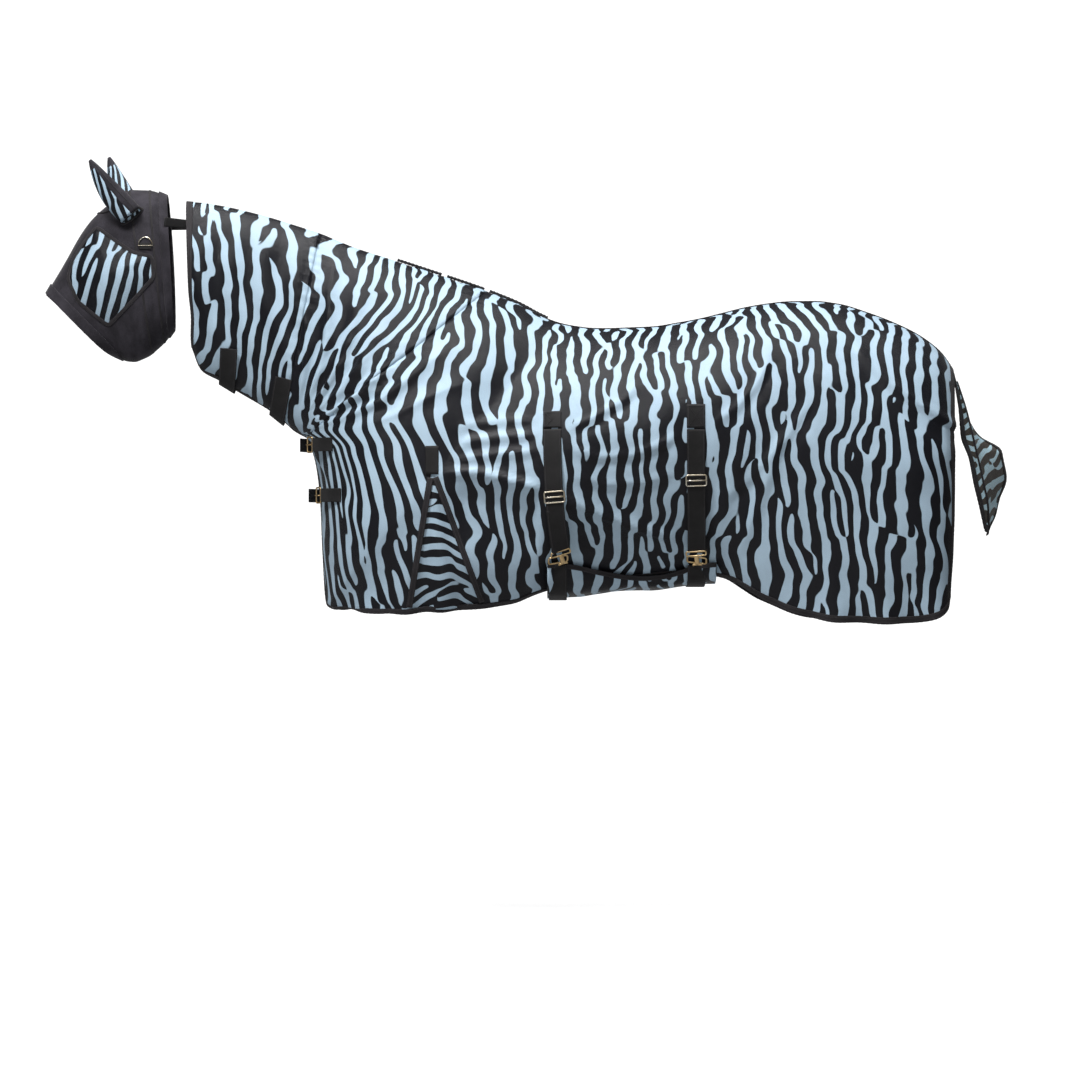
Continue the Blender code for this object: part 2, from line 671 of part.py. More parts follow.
def make_belly_webbing(label, at, rows, pivot):
    """Webbing across the flap under a strap, ending at its eye plate."""
    x = graded(at["x"] + at["lean"], 0)[0]
    lift = CLOTH / 2 + SPREAD + TAPE + 2 * GAP + WEBBING / 2 + FLAP_SLACK
    strips = []
    for shift in (-WEBBING_WIDTH / 2, 0, WEBBING_WIDTH / 2):
        line = flap_line(rows, x + shift)
        last = len(line) - 1
        strip = []
        for i, point in enumerate(line):
            along = line[min(i + 1, last)] - line[max(i - 1, 0)]
            out = Vector((0, along.z, -along.y)).normalized()
            strip.append(Vector((x + shift, point.y, point.z)) + out * lift)
        strips.append(strip)
    webbing = loft(f"belly_webbing_{label}", strips, WEBBING, "webbing")
    moved_origin(webbing, pivot)
    end = strips[1][0]
    low, _ = cast(SHEET_TREE, end.x, end.z, -1)
    high, normal = cast(SHEET_TREE, end.x, end.z + 2 * EYE_HEIGHT, -1)
    eye_matrix = hung_frame(end, normal, high - low)
    eye_matrix = eye_matrix @ Matrix.Translation((0, METAL / 4, METAL * 2.4 + EYE_HEIGHT / 2))
    windows = [(0, 0, EYE_WINDOW, EYE_HEIGHT - 2 * METAL)]
    window_plate(f"eye_plate_{label}", WEBBING_WIDTH + 2 * METAL, EYE_HEIGHT, windows, eye_matrix)


def strap_round(name, line, count, width, thickness, look, away):
    """A strap along a smooth line, with its flat side facing away from a point."""
    path = through(line, count)
    last = len(path) - 1
    normals = []
    for i, point in enumerate(path):
        along = (path[min(i + 1, last)] - path[max(i - 1, 0)]).normalized()
        out = point - away
        out -= along * out.dot(along)
        normals.append(out.normalized())
    return band(name, path, normals, width, thickness, look, 0), path, normals


def make_chest():
    """Chest straps: a billet from the right side to a buckle held by a tab on the left."""
    for label, (z, front) in CHEST_STRAPS.items():
        heart = Vector((graded(front + 0.20, 0)[0], 0, graded(0, z)[1]))
        ends = []
        for side in (1, -1):
            point, normal = cast(SHEET_TREE, *graded(front + CHEST_SEWN, z), side)
            ends.append(point + normal * (CLOTH / 2 + SPREAD + WEBBING / 2))
        nose = Vector((graded(front - CHEST_BOW, 0)[0], 0, heart.z))
        billet = [ends[0], ends[0].lerp(nose, 0.55) + Vector((-0.018, 0.018, 0)), nose + Vector((0.004, 0.016, 0)),
                  nose + Vector((0.001, -0.004, 0))]
        strap_round(f"chest_billet_{label}", billet, 9, CHEST_STRAP_WIDTH, WEBBING, "webbing", heart)
        hold = ends[1].lerp(nose, 0.45) + Vector((-0.014, -0.012, 0))
        tab = [ends[1], ends[1].lerp(hold, 0.5) + Vector((-0.003, -0.003, 0)), hold]
        _, path, normals = strap_round(f"chest_tab_{label}", tab, 5, CHEST_STRAP_WIDTH, WEBBING, "webbing",
                                       heart)
        along = (path[-1] - path[-2]).normalized()
        matrix = seated_frame(path[-1] + along * (BUCKLE_LENGTH / 2 + GAP), normals[-1], along)
        size = (CHEST_STRAP_WIDTH + 2 * METAL, BUCKLE_LENGTH)
        window = [(0, METAL / 2, CHEST_STRAP_WIDTH - 0.002, BUCKLE_LENGTH - 3 * METAL)]
        window_plate(f"chest_buckle_{label}", *size, window, matrix)
        stand = METAL * 0.85 + GAP
        tongue = box(f"chest_tongue_{label}", (METAL, METAL * 0.7, BUCKLE_LENGTH - METAL), Matrix(), "nickel")
        tongue.data.transform(Matrix.Translation((0, 0, (BUCKLE_LENGTH - METAL) / 2)))
        tongue.matrix_world = matrix @ Matrix.Translation((0, stand, -BUCKLE_LENGTH / 2 + METAL / 2))


def make_throat_straps():
    """Hook-and-loop straps round the underside of the neck cover, sewn on the right."""
    for label, u in THROAT_STRAPS.items():
        stops = [(v, -1) for v in np.linspace(THROAT_TOP, 0.98, 9)] + [(v, 1) for v in np.linspace(0.98, 0.86, 5)]
        path = [skin(u, v, side) for v, side in stops]
        normals = [normal_at(u, min(v, 0.97), side) for v, side in stops]
        base = CLOTH / 2 + SPREAD + TAPE + GAP + WEBBING / 2
        lifts = [base + THROAT_SAG * (v - THROAT_TOP) / (1 - THROAT_TOP) for v, _ in stops]
        lifts[-1] = CLOTH / 2 + 1.5 * GAP + WEBBING / 2
        lifts[-2] = base + THROAT_SAG / 4
        strap = band(f"throat_strap_{label}", path, normals, THROAT_STRAP_WIDTH, WEBBING, "webbing", lifts)
        moved_origin(strap, path[-1])


def make_tail():
    """Tail flap with its binding, hinged where it is sewn at the tail set."""
    lines = [[Vector((*graded(x, z), y)).xzy for x, y, z in line]
             for line in (TAIL_INNER, TAIL_RIDGE, TAIL_FREE)]
    count = 12
    inner, ridge, free = (through(line, count) for line in lines)
    rows = []
    for a, b, c in zip(inner, ridge, free):
        rows.append([a, a.lerp(b, 0.5), b, b.lerp(c, 0.33), b.lerp(c, 0.67), c])
    pivot = Vector((*graded(TAIL_RIDGE[0][0], TAIL_RIDGE[0][2]), 0)).xzy
    flap = loft("tail_flap", rows, CLOTH, "mesh_cloth")
    moved_origin(flap, pivot)
    edge = [row[-1] for row in rows] + [rows[-1][k] for k in (4, 3, 2, 1)] + [row[0] for row in rows[::-1]]
    into = [(row[-2] - row[-1]).normalized() for row in rows]
    into += [(rows[-2][k] - rows[-1][k]).normalized() for k in (4, 3, 2, 1)]
    into += [(row[1] - row[0]).normalized() for row in rows[::-1]]
    out = []
    for i, point in enumerate(edge):
        along = edge[min(i + 1, len(edge) - 1)] - edge[max(i - 1, 0)]
        normal = along.cross(into[i]).normalized()
        out.append(normal)
    binding = binding_along("tail_flap_binding", edge[1:-2], into[1:-2], out[1:-2], BINDING_WIDTH * 0.8)
    moved_origin(binding, pivot)


def head_ring(at, angles, lift=0.0):
    """Points of a ring round the head; at counts from the rear ring to the nose ring."""
    x0, z0, x1, z1, wide = eased(np.arange(len(RINGS), dtype=float), np.array(RINGS), at)
    top, low = Vector((*graded(x0, z0), 0)).xzy, Vector((*graded(x1, z1), 0)).xzy
    width = wide * BARREL_HALF_WIDTH / DRAWN_HALF_WIDTH
    middle = (top + low) / 2
    arm = (top - low) / 2
    made = []
    for angle in angles:
        c, s = math.cos(angle), math.sin(angle)
        across = math.copysign(abs(s) ** 0.8, s)
        made.append(middle + arm * (c * (1 + lift / arm.length)) + Vector((0, (width + lift) * across, 0)))
    return made


def make_mask():
    """Mask shell with its openings, eye meshes, nose and rear bands."""
    angles = [2 * math.pi * k / MASK_SIDES for k in range(MASK_SIDES)]
    last = len(RINGS) - 1
    rows = [head_ring(at, angles) for at in np.linspace(0, last, 15)]
    shell = loft("mask_shell", rows, CLOTH, "fleece", loop=True)
    tree = surface_tree(rows, loop=True)
    combine(shell, forelock_cutter(), "DIFFERENCE")
    for label, side in SIDES:
        outline = [graded(*p) for p in EYE_OUTLINE]
        combine(shell, prism(f"eye_window_{label}", outline, *sorted((side * 0.01, side * 0.3))), "DIFFERENCE")
        mesh = rings_of(shrunk(divided(outline, 2), EYE_MARGIN), 3, tree, EYE_DOME, 0, side, False)
        eye = disc(f"eye_mesh_{label}", mesh, CLOTH, "mesh_cloth")
        moved_origin(eye, shell.location)
        make_mask_ring(label, side, tree)
        make_poll_strap(label, side, tree)
        make_ear(label, side, tree)
    for name, at, width in (("nose_band", last - 0.35, 0.026), ("mask_rear_band", 0.42, 0.022)):
        lift = CLOTH / 2 + SPREAD + TAPE + (2 * GAP if at > 1 else 0)
        lead = head_ring(at, angles, lift)
        tail = head_ring(at + (0.30 if at > 1 else -0.34), angles, lift)
        loft(name, [lead, tail], TAPE, "fleece", loop=True)


def forelock_cutter():
    """The opening on the forehead in front of the ears, where the forelock comes out."""
    mesh = bpy.data.meshes.new("forelock_opening")
    ball = bmesh.new()
    bmesh.ops.create_uvsphere(ball, u_segments=16, v_segments=8, radius=1)
    bmesh.ops.scale(ball, vec=FORELOCK_SIZE, verts=ball.verts)
    ball.to_mesh(mesh)
    ball.free()
    made = bpy.data.objects.new("forelock_opening", mesh)
    made.location = Vector((*graded(*FORELOCK_PLACE), 0)).xzy
    hide_cutter(made)
    return made


def make_mask_ring(label, side, tree):
    """A D ring on the cheek and the webbing tab that holds it."""
    point, normal = cast(tree, *graded(*D_RING_PLACE), side)
    matrix = seated_frame(point + normal * (CLOTH / 2 + 2 * GAP + WEBBING / 2), normal, Vector((0, 0, 1)))
    box(f"d_ring_tab_{label}", (0.026, WEBBING, 0.016), matrix @ Matrix.Translation((0, 0, 0.001)), "fleece")
    curve = bpy.data.curves.new(f"d_ring_{label}", "CURVE")
    curve.dimensions = "3D"
    curve.bevel_depth = D_RING_WIRE / 2
    curve.bevel_resolution = 1
    spline = curve.splines.new("POLY")
    arc = [math.pi * k / 8 for k in range(9)]
    points = [(D_RING_WIDTH / 2 * math.cos(a), D_RING_WIDTH * 0.62 * math.sin(a)) for a in arc]
    spline.points.add(len(points) - 1)
    for target, (x, z) in zip(spline.points, points):
        target.co = (x, 0, z, 1)
    spline.use_cyclic_u = True
    curve.materials.append(finish("nickel"))
    ring = bpy.data.objects.new(f"d_ring_{label}", curve)
    ring.matrix_world = matrix @ Matrix.Translation((0, WEBBING / 2 + D_RING_WIRE / 2 + GAP, 0.002))
    PARTS.objects.link(ring)


def make_poll_strap(label, side, tree):
    """The strap that joins the mask to the neck cover."""
    rear_x, neck_x = -1.086, -1.016
    x, z = graded(rear_x, POLL_STRAP_Z)
    start, normal = cast(tree, x, z, side)
    start += normal * (CLOTH / 2 + SPREAD + 3 * TAPE + 7 * GAP + WEBBING / 2)
    inside, out = on_sheet([(neck_x, POLL_STRAP_Z)], side)
    end = inside[0] - out[0] * (CLOTH / 2 + GAP + WEBBING / 2) - Vector((0, side * POLL_TUCK, 0))
    line = [start, start.lerp(end, 0.5), end]
    path = through(line, 4)
    band(f"poll_strap_{label}", path, [Vector((0, side, 0))] * 4, POLL_STRAP_WIDTH, WEBBING, "webbing", 0)


def make_ear(label, side, tree):
    """An ear pocket, open at its base, on the side of the poll."""
    x, z = graded(*EAR_BASE)
    base, normal = cast(tree, x, z, side)
    tip_x, tip_z = graded(*EAR_TIPS[label])
    tip = Vector((tip_x, side * EAR_TIP_Y, tip_z))
    foot = base + Vector((0, side * EAR_BASE_RADIUS * 0.5, 0))
    axis = (tip - foot).normalized()
    across = axis.cross(Vector((0, 1, 0))).normalized()
    deep = axis.cross(across).normalized()
    turns = [2 * math.pi * k / EAR_SIDES for k in range(EAR_SIDES)]
    hem = []
    for t in turns:
        spot = base + (across * math.cos(t) + deep * EAR_FLATNESS * math.sin(t)) * EAR_BASE_RADIUS
        point, out = cast(tree, spot.x, spot.z - EAR_DROP * math.sin(t) * side, side)
        hem.append(point + out * (CLOTH / 2 + SPREAD + EAR_CLOTH / 2))
    rows = [hem]
    for share in np.linspace(0.10, 1, 8):
        fat = math.sin(math.pi * (0.42 + 0.56 * share)) ** 0.8
        radius = EAR_BASE_RADIUS * max(fat, 0.12)
        centre = foot.lerp(tip, share)
        rows.append([centre + (across * math.cos(t) + deep * EAR_FLATNESS * math.sin(t)) * radius
                     for t in turns])
    across_count = EAR_SIDES
    vertices = [p for row in rows for p in row]
    faces = []
    for i in range(len(rows) - 1):
        for j in range(across_count):
            k = (j + 1) % across_count
            faces.append((i * across_count + j, i * across_count + k, (i + 1) * across_count + k,
                          (i + 1) * across_count + j))
    start = (len(rows) - 1) * across_count
    faces.append(tuple(range(start, start + across_count)))
    ear = thicken(add_mesh(f"ear_{label}", vertices, faces, "mesh_cloth", PARTS), EAR_CLOTH)
    moved_origin(ear, foot)


PARTS = None
CUTTERS = None
SIDES = (("left", -1), ("right", 1))
SHEET_TREE = None


def main():
    """Builds the whole sheet."""
    global PARTS, CUTTERS, SHEET_TREE
    clear_scene()
    PARTS = new_collection("fly_sheet")
    CUTTERS = new_collection("cutters")
    columns = (panel_rows(0, NECK_SEAM, NECK_FRONT_COLUMNS, -1)
               + panel_rows(NECK_SEAM, BODY_SEAM, NECK_REAR_COLUMNS, -1)[1:]
               + panel_rows(BODY_SEAM, REAR, BODY_COLUMNS, -1)[1:])
    SHEET_TREE = surface_tree(columns)
    make_panels()
    make_bindings()
    make_crest()
    make_gussets()
    make_straps()
    make_flap()
    make_chest()
    make_throat_straps()
    make_tail()
    make_mask()


main()
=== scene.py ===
"""A zebra-print fly sheet: body sheet, neck cover, mask, surcingle straps, belly flap and tail flap.

Lengths are in metres. X runs towards the tail, -Y is the near side and Z is up, with the origin at
the withers.
"""

from __future__ import annotations

import json
import logging
import math
from dataclasses import dataclass
from enum import Enum
from typing import Callable, Sequence

import bmesh
import bpy
import numpy as np
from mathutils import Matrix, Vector
from mathutils.bvhtree import BVHTree

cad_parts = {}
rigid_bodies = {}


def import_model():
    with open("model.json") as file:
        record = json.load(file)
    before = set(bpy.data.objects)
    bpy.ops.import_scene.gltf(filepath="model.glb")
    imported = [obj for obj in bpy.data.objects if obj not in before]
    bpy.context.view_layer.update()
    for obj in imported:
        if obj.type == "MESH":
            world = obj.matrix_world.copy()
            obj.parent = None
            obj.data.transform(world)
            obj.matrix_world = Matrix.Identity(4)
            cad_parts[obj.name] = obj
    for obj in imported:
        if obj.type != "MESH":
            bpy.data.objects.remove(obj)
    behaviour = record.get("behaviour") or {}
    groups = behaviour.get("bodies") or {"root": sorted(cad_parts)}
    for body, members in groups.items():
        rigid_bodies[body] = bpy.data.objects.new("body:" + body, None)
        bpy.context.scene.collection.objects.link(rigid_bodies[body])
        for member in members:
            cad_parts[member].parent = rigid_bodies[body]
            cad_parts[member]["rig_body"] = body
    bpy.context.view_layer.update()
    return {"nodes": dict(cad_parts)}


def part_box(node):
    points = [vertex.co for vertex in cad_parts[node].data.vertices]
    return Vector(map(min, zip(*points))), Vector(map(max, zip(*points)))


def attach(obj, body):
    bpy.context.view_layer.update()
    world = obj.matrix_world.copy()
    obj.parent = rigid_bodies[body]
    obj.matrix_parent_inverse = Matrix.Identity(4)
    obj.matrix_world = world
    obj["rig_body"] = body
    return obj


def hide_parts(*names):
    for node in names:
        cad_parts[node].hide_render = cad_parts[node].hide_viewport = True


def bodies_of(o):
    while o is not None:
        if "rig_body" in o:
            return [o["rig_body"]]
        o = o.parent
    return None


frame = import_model()
LOG = logging.getLogger("fly_sheet")

Array = np.ndarray
Point = Sequence[float]

SEAM_GAP = 0.0004
WEBBING_WIDTH = 0.050
NECK_SEAM, BODY_SEAM, REAR = 5.0, 8.0, 30.0


class Side(Enum):
    """The near and the off side of the horse."""

    LEFT = -1
    RIGHT = 1

    @property
    def label(self) -> str:
        """The side's name as the pieces use it."""
        return self.name.lower()


class Hold(Enum):
    """How a sheet of cloth is held."""

    DRAPED = "draped"
    STRETCHED = "stretched"
    HUNG = "hung"


class Slot(Enum):
    """The finishes that the record names."""

    CLOTH = "mesh_cloth"
    BINDING = "binding"
    WEBBING = "webbing"
    FLEECE = "mask_fleece"
    METAL = "nickel"


# ---------------------------------------------------------------- shader wiring


class Wiring:
    """Lays nodes in one tree and joins them."""

    def __init__(self, tree: bpy.types.NodeTree) -> None:
        """Keeps the tree that the nodes go in."""
        self.tree = tree

    def put(self, kind: str, inputs: dict[str | int, object] | None = None,
            **settings: object) -> bpy.types.Node:
        """A node with its settings, and its inputs set or linked.

        Args:
            kind: The node's Blender type.
            inputs: Values or sockets by input name or number.
            settings: Attributes of the node.

        Returns:
            The node.
        """
        node = self.tree.nodes.new(kind)
        for key, value in settings.items():
            setattr(node, key, value)
        for key, value in (inputs or {}).items():
            self.feed(node.inputs[key], value)
        return node

    def feed(self, target: bpy.types.NodeSocket, value: object) -> None:
        """Links a socket to the target, or sets the target's own value."""
        if isinstance(value, bpy.types.NodeSocket):
            self.tree.links.new(value, target)
        else:
            target.default_value = value

    def maths(self, operation: str, *values: object, clamp: bool = False) -> bpy.types.NodeSocket:
        """The result of a Math node."""
        node = self.put("ShaderNodeMath", operation=operation, use_clamp=clamp)
        for target, value in zip(node.inputs, values):
            self.feed(target, value)
        return node.outputs[0]

    def vector(self, operation: str, *values: object) -> bpy.types.NodeSocket:
        """The result of a Vector Math node."""
        node = self.put("ShaderNodeVectorMath", operation=operation)
        for target, value in zip(node.inputs, values):
            self.feed(target, value)
        return node.outputs["Value" if operation in ("LENGTH", "DOT_PRODUCT", "DISTANCE") else "Vector"]

    def scaled(self, vector: bpy.types.NodeSocket, factor: object) -> bpy.types.NodeSocket:
        """A vector times a number."""
        node = self.put("ShaderNodeVectorMath", operation="SCALE")
        self.feed(node.inputs[0], vector)
        self.feed(node.inputs["Scale"], factor)
        return node.outputs["Vector"]

    def step(self, value: object, low: object, high: object) -> bpy.types.NodeSocket:
        """A smooth step from 0 at low to 1 at high."""
        node = self.put("ShaderNodeMapRange", {"Value": value, "From Min": low, "From Max": high},
                        interpolation_type="SMOOTHSTEP")
        return node.outputs["Result"]

    def mix(self, share: object, first: object, second: object) -> bpy.types.NodeSocket:
        """A colour between two."""
        node = self.put("ShaderNodeMix", {0: share, 6: first, 7: second}, data_type="RGBA")
        return node.outputs[2]

    def noise(self, vector: object, scale: object, detail: float = 2.0,
              roughness: float = 0.5) -> bpy.types.Node:
        """A noise texture node."""
        return self.put("ShaderNodeTexNoise", {"Vector": vector, "Scale": scale, "Detail": detail,
                                               "Roughness": roughness})

    def parts(self, vector: bpy.types.NodeSocket) -> bpy.types.NodeOutputs:
        """The X, Y and Z of a vector."""
        return self.put("ShaderNodeSeparateXYZ", {0: vector}).outputs

    def whole(self, x: object, y: object, z: object = 0.0) -> bpy.types.NodeSocket:
        """A vector from its X, Y and Z."""
        return self.put("ShaderNodeCombineXYZ", {0: x, 1: y, 2: z}).outputs[0]

    def effect(self, group: bpy.types.NodeTree, **inputs: object) -> bpy.types.NodeOutputs:
        """A shared effect placed in this tree, with its own values."""
        node = self.put("ShaderNodeGroup", node_tree=group)
        for key, value in inputs.items():
            self.feed(node.inputs[key.replace("_", " ")], value)
        return node.outputs


class Effects:
    """The effects that more than one finish uses, each a node group made once."""

    def __init__(self) -> None:
        """Starts with no group made."""
        self.made: dict[str, bpy.types.NodeTree] = {}

    def group(self, name: str, inputs: dict[str, float | None], outputs: Sequence[str],
              wire: Callable[[Wiring, bpy.types.NodeOutputs, bpy.types.NodeInputs], None],
              ) -> bpy.types.NodeTree:
        """A node group with these sockets, made at its first use.

        Args:
            name: The group's name.
            inputs: Starting values by name, with None for a vector.
            outputs: The names of the values it puts out.
            wire: Lays its nodes between the input and output sockets.

        Returns:
            The group.
        """
        if name not in self.made:
            tree = bpy.data.node_groups.new(name, "ShaderNodeTree")
            for key, value in inputs.items():
                kind = "NodeSocketVector" if value is None else "NodeSocketFloat"
                socket = tree.interface.new_socket(name=key, in_out="INPUT", socket_type=kind)
                if value is not None:
                    socket.default_value = value
            for key in outputs:
                tree.interface.new_socket(name=key, in_out="OUTPUT", socket_type="NodeSocketFloat")
            wiring = Wiring(tree)
            start = wiring.put("NodeGroupInput").outputs
            wire(wiring, start, wiring.put("NodeGroupOutput").inputs)
            self.made[name] = tree
        return self.made[name]

    def zebra(self) -> bpy.types.NodeTree:
        """Printed stripes that wander, fork and taper, across the vector's X."""

        def wire(w: Wiring, given: bpy.types.NodeOutputs, out: bpy.types.NodeInputs) -> None:
            """Bends the cloth's plane, then bands it."""
            place = w.vector("ADD", given["Vector"], w.whole(given["Seed"], given["Seed"], given["Seed"]))
            middle = (0.5, 0.5, 0.5)
            small = w.vector("SUBTRACT", w.noise(place, 8.5, 1.5).outputs["Color"], middle)
            large = w.vector("SUBTRACT", w.noise(place, 2.6, 1.0).outputs["Color"], middle)
            bend = w.vector("ADD", w.scaled(small, given["Wander"]),
                            w.scaled(large, w.maths("MULTIPLY", given["Wander"], 1.6)))
            bent = w.vector("ADD", place, bend)
            reach = 2.1
            scale = w.maths("DIVIDE", 1.0 / reach, given["Period"])
            bands = w.put("ShaderNodeTexGabor", {"Vector": bent, "Scale": scale, "Frequency": reach,
                                                 "Anisotropy": 0.94, "Orientation": 0.0}, gabor_type="2D")
            grain = w.maths("SUBTRACT", w.noise(place, 14.0, 1.0).outputs["Fac"], 0.5)
            wave = w.maths("SINE", w.maths("MULTIPLY", bands.outputs["Phase"], 2 * math.pi))
            even = w.maths("MULTIPLY", w.maths("MULTIPLY_ADD", wave, -0.5, 0.5), given["Evenness"])
            loose = w.maths("MULTIPLY", bands.outputs["Value"], w.maths("SUBTRACT", 1.0, given["Evenness"]))
            level = w.maths("ADD", w.maths("ADD", even, loose), w.maths("MULTIPLY", grain, 0.22))
            cut = w.maths("SUBTRACT", 1.0, given["Light"])
            w.feed(out["Stripe"], w.step(level, w.maths("SUBTRACT", cut, given["Softness"]),
                                         w.maths("ADD", cut, given["Softness"])))
            w.feed(out["Level"], level)

        sockets = {"Vector": None, "Period": 0.048, "Wander": 0.05, "Light": 0.5, "Softness": 0.02,
                   "Seed": 0.0, "Evenness": 0.15}
        return self.group("zebra print", sockets, ("Stripe", "Level"), wire)

    def tricot(self) -> bpy.types.NodeTree:
        """A fine warp-knit mesh: staggered holes between rounded yarns."""

        def wire(w: Wiring, given: bpy.types.NodeOutputs, out: bpy.types.NodeInputs) -> None:
            """Two crossed diagonal waves, deepest where both dip."""
            x, y, _ = w.parts(w.scaled(given["Vector"], w.maths("DIVIDE", 2 * math.pi, given["Pitch"])))
            rise = w.maths("SINE", w.maths("ADD", x, w.maths("MULTIPLY", y, 0.62)))
            fall = w.maths("SINE", w.maths("SUBTRACT", x, w.maths("MULTIPLY", y, 0.62)))
            height = w.maths("MULTIPLY", w.maths("ADD", rise, fall), 0.5)
            w.feed(out["Height"], height)
            w.feed(out["Hole"], w.step(height, -0.45, -0.8))

        return self.group("tricot mesh", {"Vector": None, "Pitch": 0.0019}, ("Height", "Hole"), wire)

    def ribs(self) -> bpy.types.NodeTree:
        """Narrow woven ribs: X along the band and Y across it."""

        def wire(w: Wiring, given: bpy.types.NodeOutputs, out: bpy.types.NodeInputs) -> None:
            """Long ribs crossed by the picks of the weft in a chevron."""
            x, y, _ = w.parts(w.scaled(given["Vector"], w.maths("DIVIDE", 2 * math.pi, given["Pitch"])))
            rib = w.maths("SINE", y)
            chevron = w.maths("ABSOLUTE", w.maths("SINE", w.maths("MULTIPLY", y, 0.25)))
            slant = w.maths("ADD", w.maths("MULTIPLY", x, 0.8), w.maths("MULTIPLY", chevron, 2.2))
            pick = w.maths("SINE", slant)
            height = w.maths("MULTIPLY", w.maths("ADD", w.maths("MULTIPLY", rib, 0.6), pick), 0.6)
            w.feed(out["Height"], height)
            # Shade is painted shade: near 0 in the weave's low parts, where the colour gets darkened.
            w.feed(out["Shade"], w.step(height, -0.9, 0.9))

        return self.group("woven ribs", {"Vector": None, "Pitch": 0.0022}, ("Height", "Shade"), wire)

    def stitches(self) -> bpy.types.NodeTree:
        """Two rows of lockstitch, X along the seam and Y across it."""

        def wire(w: Wiring, given: bpy.types.NodeOutputs, out: bpy.types.NodeInputs) -> None:
            """Short rounded dashes at an offset each side of the middle."""
            x, y, _ = w.parts(given["Vector"])
            off = w.maths("ABSOLUTE", w.maths("SUBTRACT", w.maths("ABSOLUTE", y), given["Offset"]))
            line = w.step(off, 0.0007, 0.0003)
            share = w.maths("FRACT", w.maths("DIVIDE", x, given["Spacing"]))
            dash = w.step(w.maths("ABSOLUTE", w.maths("SUBTRACT", share, 0.5)), 0.42, 0.30)
            w.feed(out["Thread"], w.maths("MULTIPLY", line, dash))
            w.feed(out["Pucker"], w.maths("MULTIPLY", w.step(off, 0.0045, 0.0),
                                          w.maths("SUBTRACT", 1.0, dash)))

        return self.group("stitch rows", {"Vector": None, "Offset": 0.004, "Spacing": 0.0034},
                          ("Thread", "Pucker"), wire)

    def dust(self) -> bpy.types.NodeTree:
        """Uneven fading and dust: broad patches with a fine grain."""

        def wire(w: Wiring, given: bpy.types.NodeOutputs, out: bpy.types.NodeInputs) -> None:
            """Broad patches broken by fine grain."""
            broad = w.noise(given["Vector"], given["Scale"], 3.0, 0.55).outputs["Fac"]
            fine = w.noise(given["Vector"], w.maths("MULTIPLY", given["Scale"], 22.0), 2.0, 0.6).outputs["Fac"]
            mixed = w.maths("ADD", w.maths("MULTIPLY", broad, 0.7), w.maths("MULTIPLY", fine, 0.3))
            w.feed(out["Mask"], w.maths("MULTIPLY", w.step(mixed, 0.36, 0.68), given["Amount"]))
            w.feed(out["Grain"], fine)

        return self.group("dust and fading", {"Vector": None, "Scale": 5.0, "Amount": 0.3},
                          ("Mask", "Grain"), wire)


EFFECTS = Effects()


def tinted(colour: Sequence[float], factor: float, lift: float = 0.0) -> tuple[float, ...]:
    """A colour times a factor, with a little added, and opaque."""
    return tuple(c * factor + lift for c in colour[:3]) + (1,)


def plain_material(name: str) -> tuple[bpy.types.Material, Wiring, bpy.types.Node]:
    """A material with only its Principled shader.

    Args:
        name: The material's name.

    Returns:
        The material, its wiring and its shader.
    """
    made = bpy.data.materials.new(name)
    made.use_nodes = True
    return made, Wiring(made.node_tree), made.node_tree.nodes["Principled BSDF"]


@dataclass(frozen=True)
class PrintedMesh:
    """Fine polyester mesh with a two-colour zebra print."""

    name: str
    seed: float = 0.0
    period: float = 0.043
    wander: float = 0.050
    light: float = 0.47
    dark_colour: tuple[float, ...] = (0.0036, 0.0038, 0.0066, 1)
    light_colour: tuple[float, ...] = (0.44, 0.585, 0.71, 1)
    alpha: float = 1.0

    def make(self) -> bpy.types.Material:
        """The material."""
        made, w, shader = plain_material(self.name)
        cloth = w.put("ShaderNodeUVMap", uv_map="cloth").outputs[0]
        zebra = w.effect(EFFECTS.zebra(), Vector=cloth, Period=self.period, Wander=self.wander,
                         Light=self.light, Seed=self.seed)
        mesh = w.effect(EFFECTS.tricot(), Vector=cloth)
        fading = w.effect(EFFECTS.dust(), Vector=cloth, Scale=3.0, Amount=0.5)
        pale = w.mix(fading["Mask"], self.light_colour, tinted(self.light_colour, 0.86))
        deep = w.mix(fading["Mask"], self.dark_colour, tinted(self.dark_colour, 1.4, 0.001))
        printed = w.mix(zebra["Stripe"], deep, pale)
        # Painted shade: the knit's holes are darkened towards near-black for the dark space behind the mesh.
        shown = w.mix(w.maths("MULTIPLY", mesh["Hole"], 0.30), printed, (0.008, 0.008, 0.010, 1))
        w.feed(shader.inputs["Base Color"], shown)
        rough = w.maths("ADD", w.maths("MULTIPLY", zebra["Stripe"], 0.10),
                        w.maths("ADD", w.maths("MULTIPLY", fading["Mask"], 0.10), 0.38))
        w.feed(shader.inputs["Roughness"], rough)
        knit = w.put("ShaderNodeBump", {"Strength": 0.35, "Distance": 0.0005, "Height": mesh["Height"]})
        crease = w.noise(cloth, 34.0, 3.0, 0.6).outputs["Fac"]
        soft = w.put("ShaderNodeBump", {"Strength": 0.30, "Distance": 0.004, "Height": crease,
                                        "Normal": knit.outputs[0]})
        w.feed(shader.inputs["Normal"], soft.outputs[0])
        shader.inputs["Sheen Weight"].default_value = 0.04
        shader.inputs["Sheen Roughness"].default_value = 0.45
        shader.inputs["Specular IOR Level"].default_value = 0.24
        if self.alpha < 1:
            holes = w.maths("SUBTRACT", self.alpha, w.maths("MULTIPLY", mesh["Hole"], self.alpha * 0.6))
            w.feed(shader.inputs["Alpha"], holes)
        return made


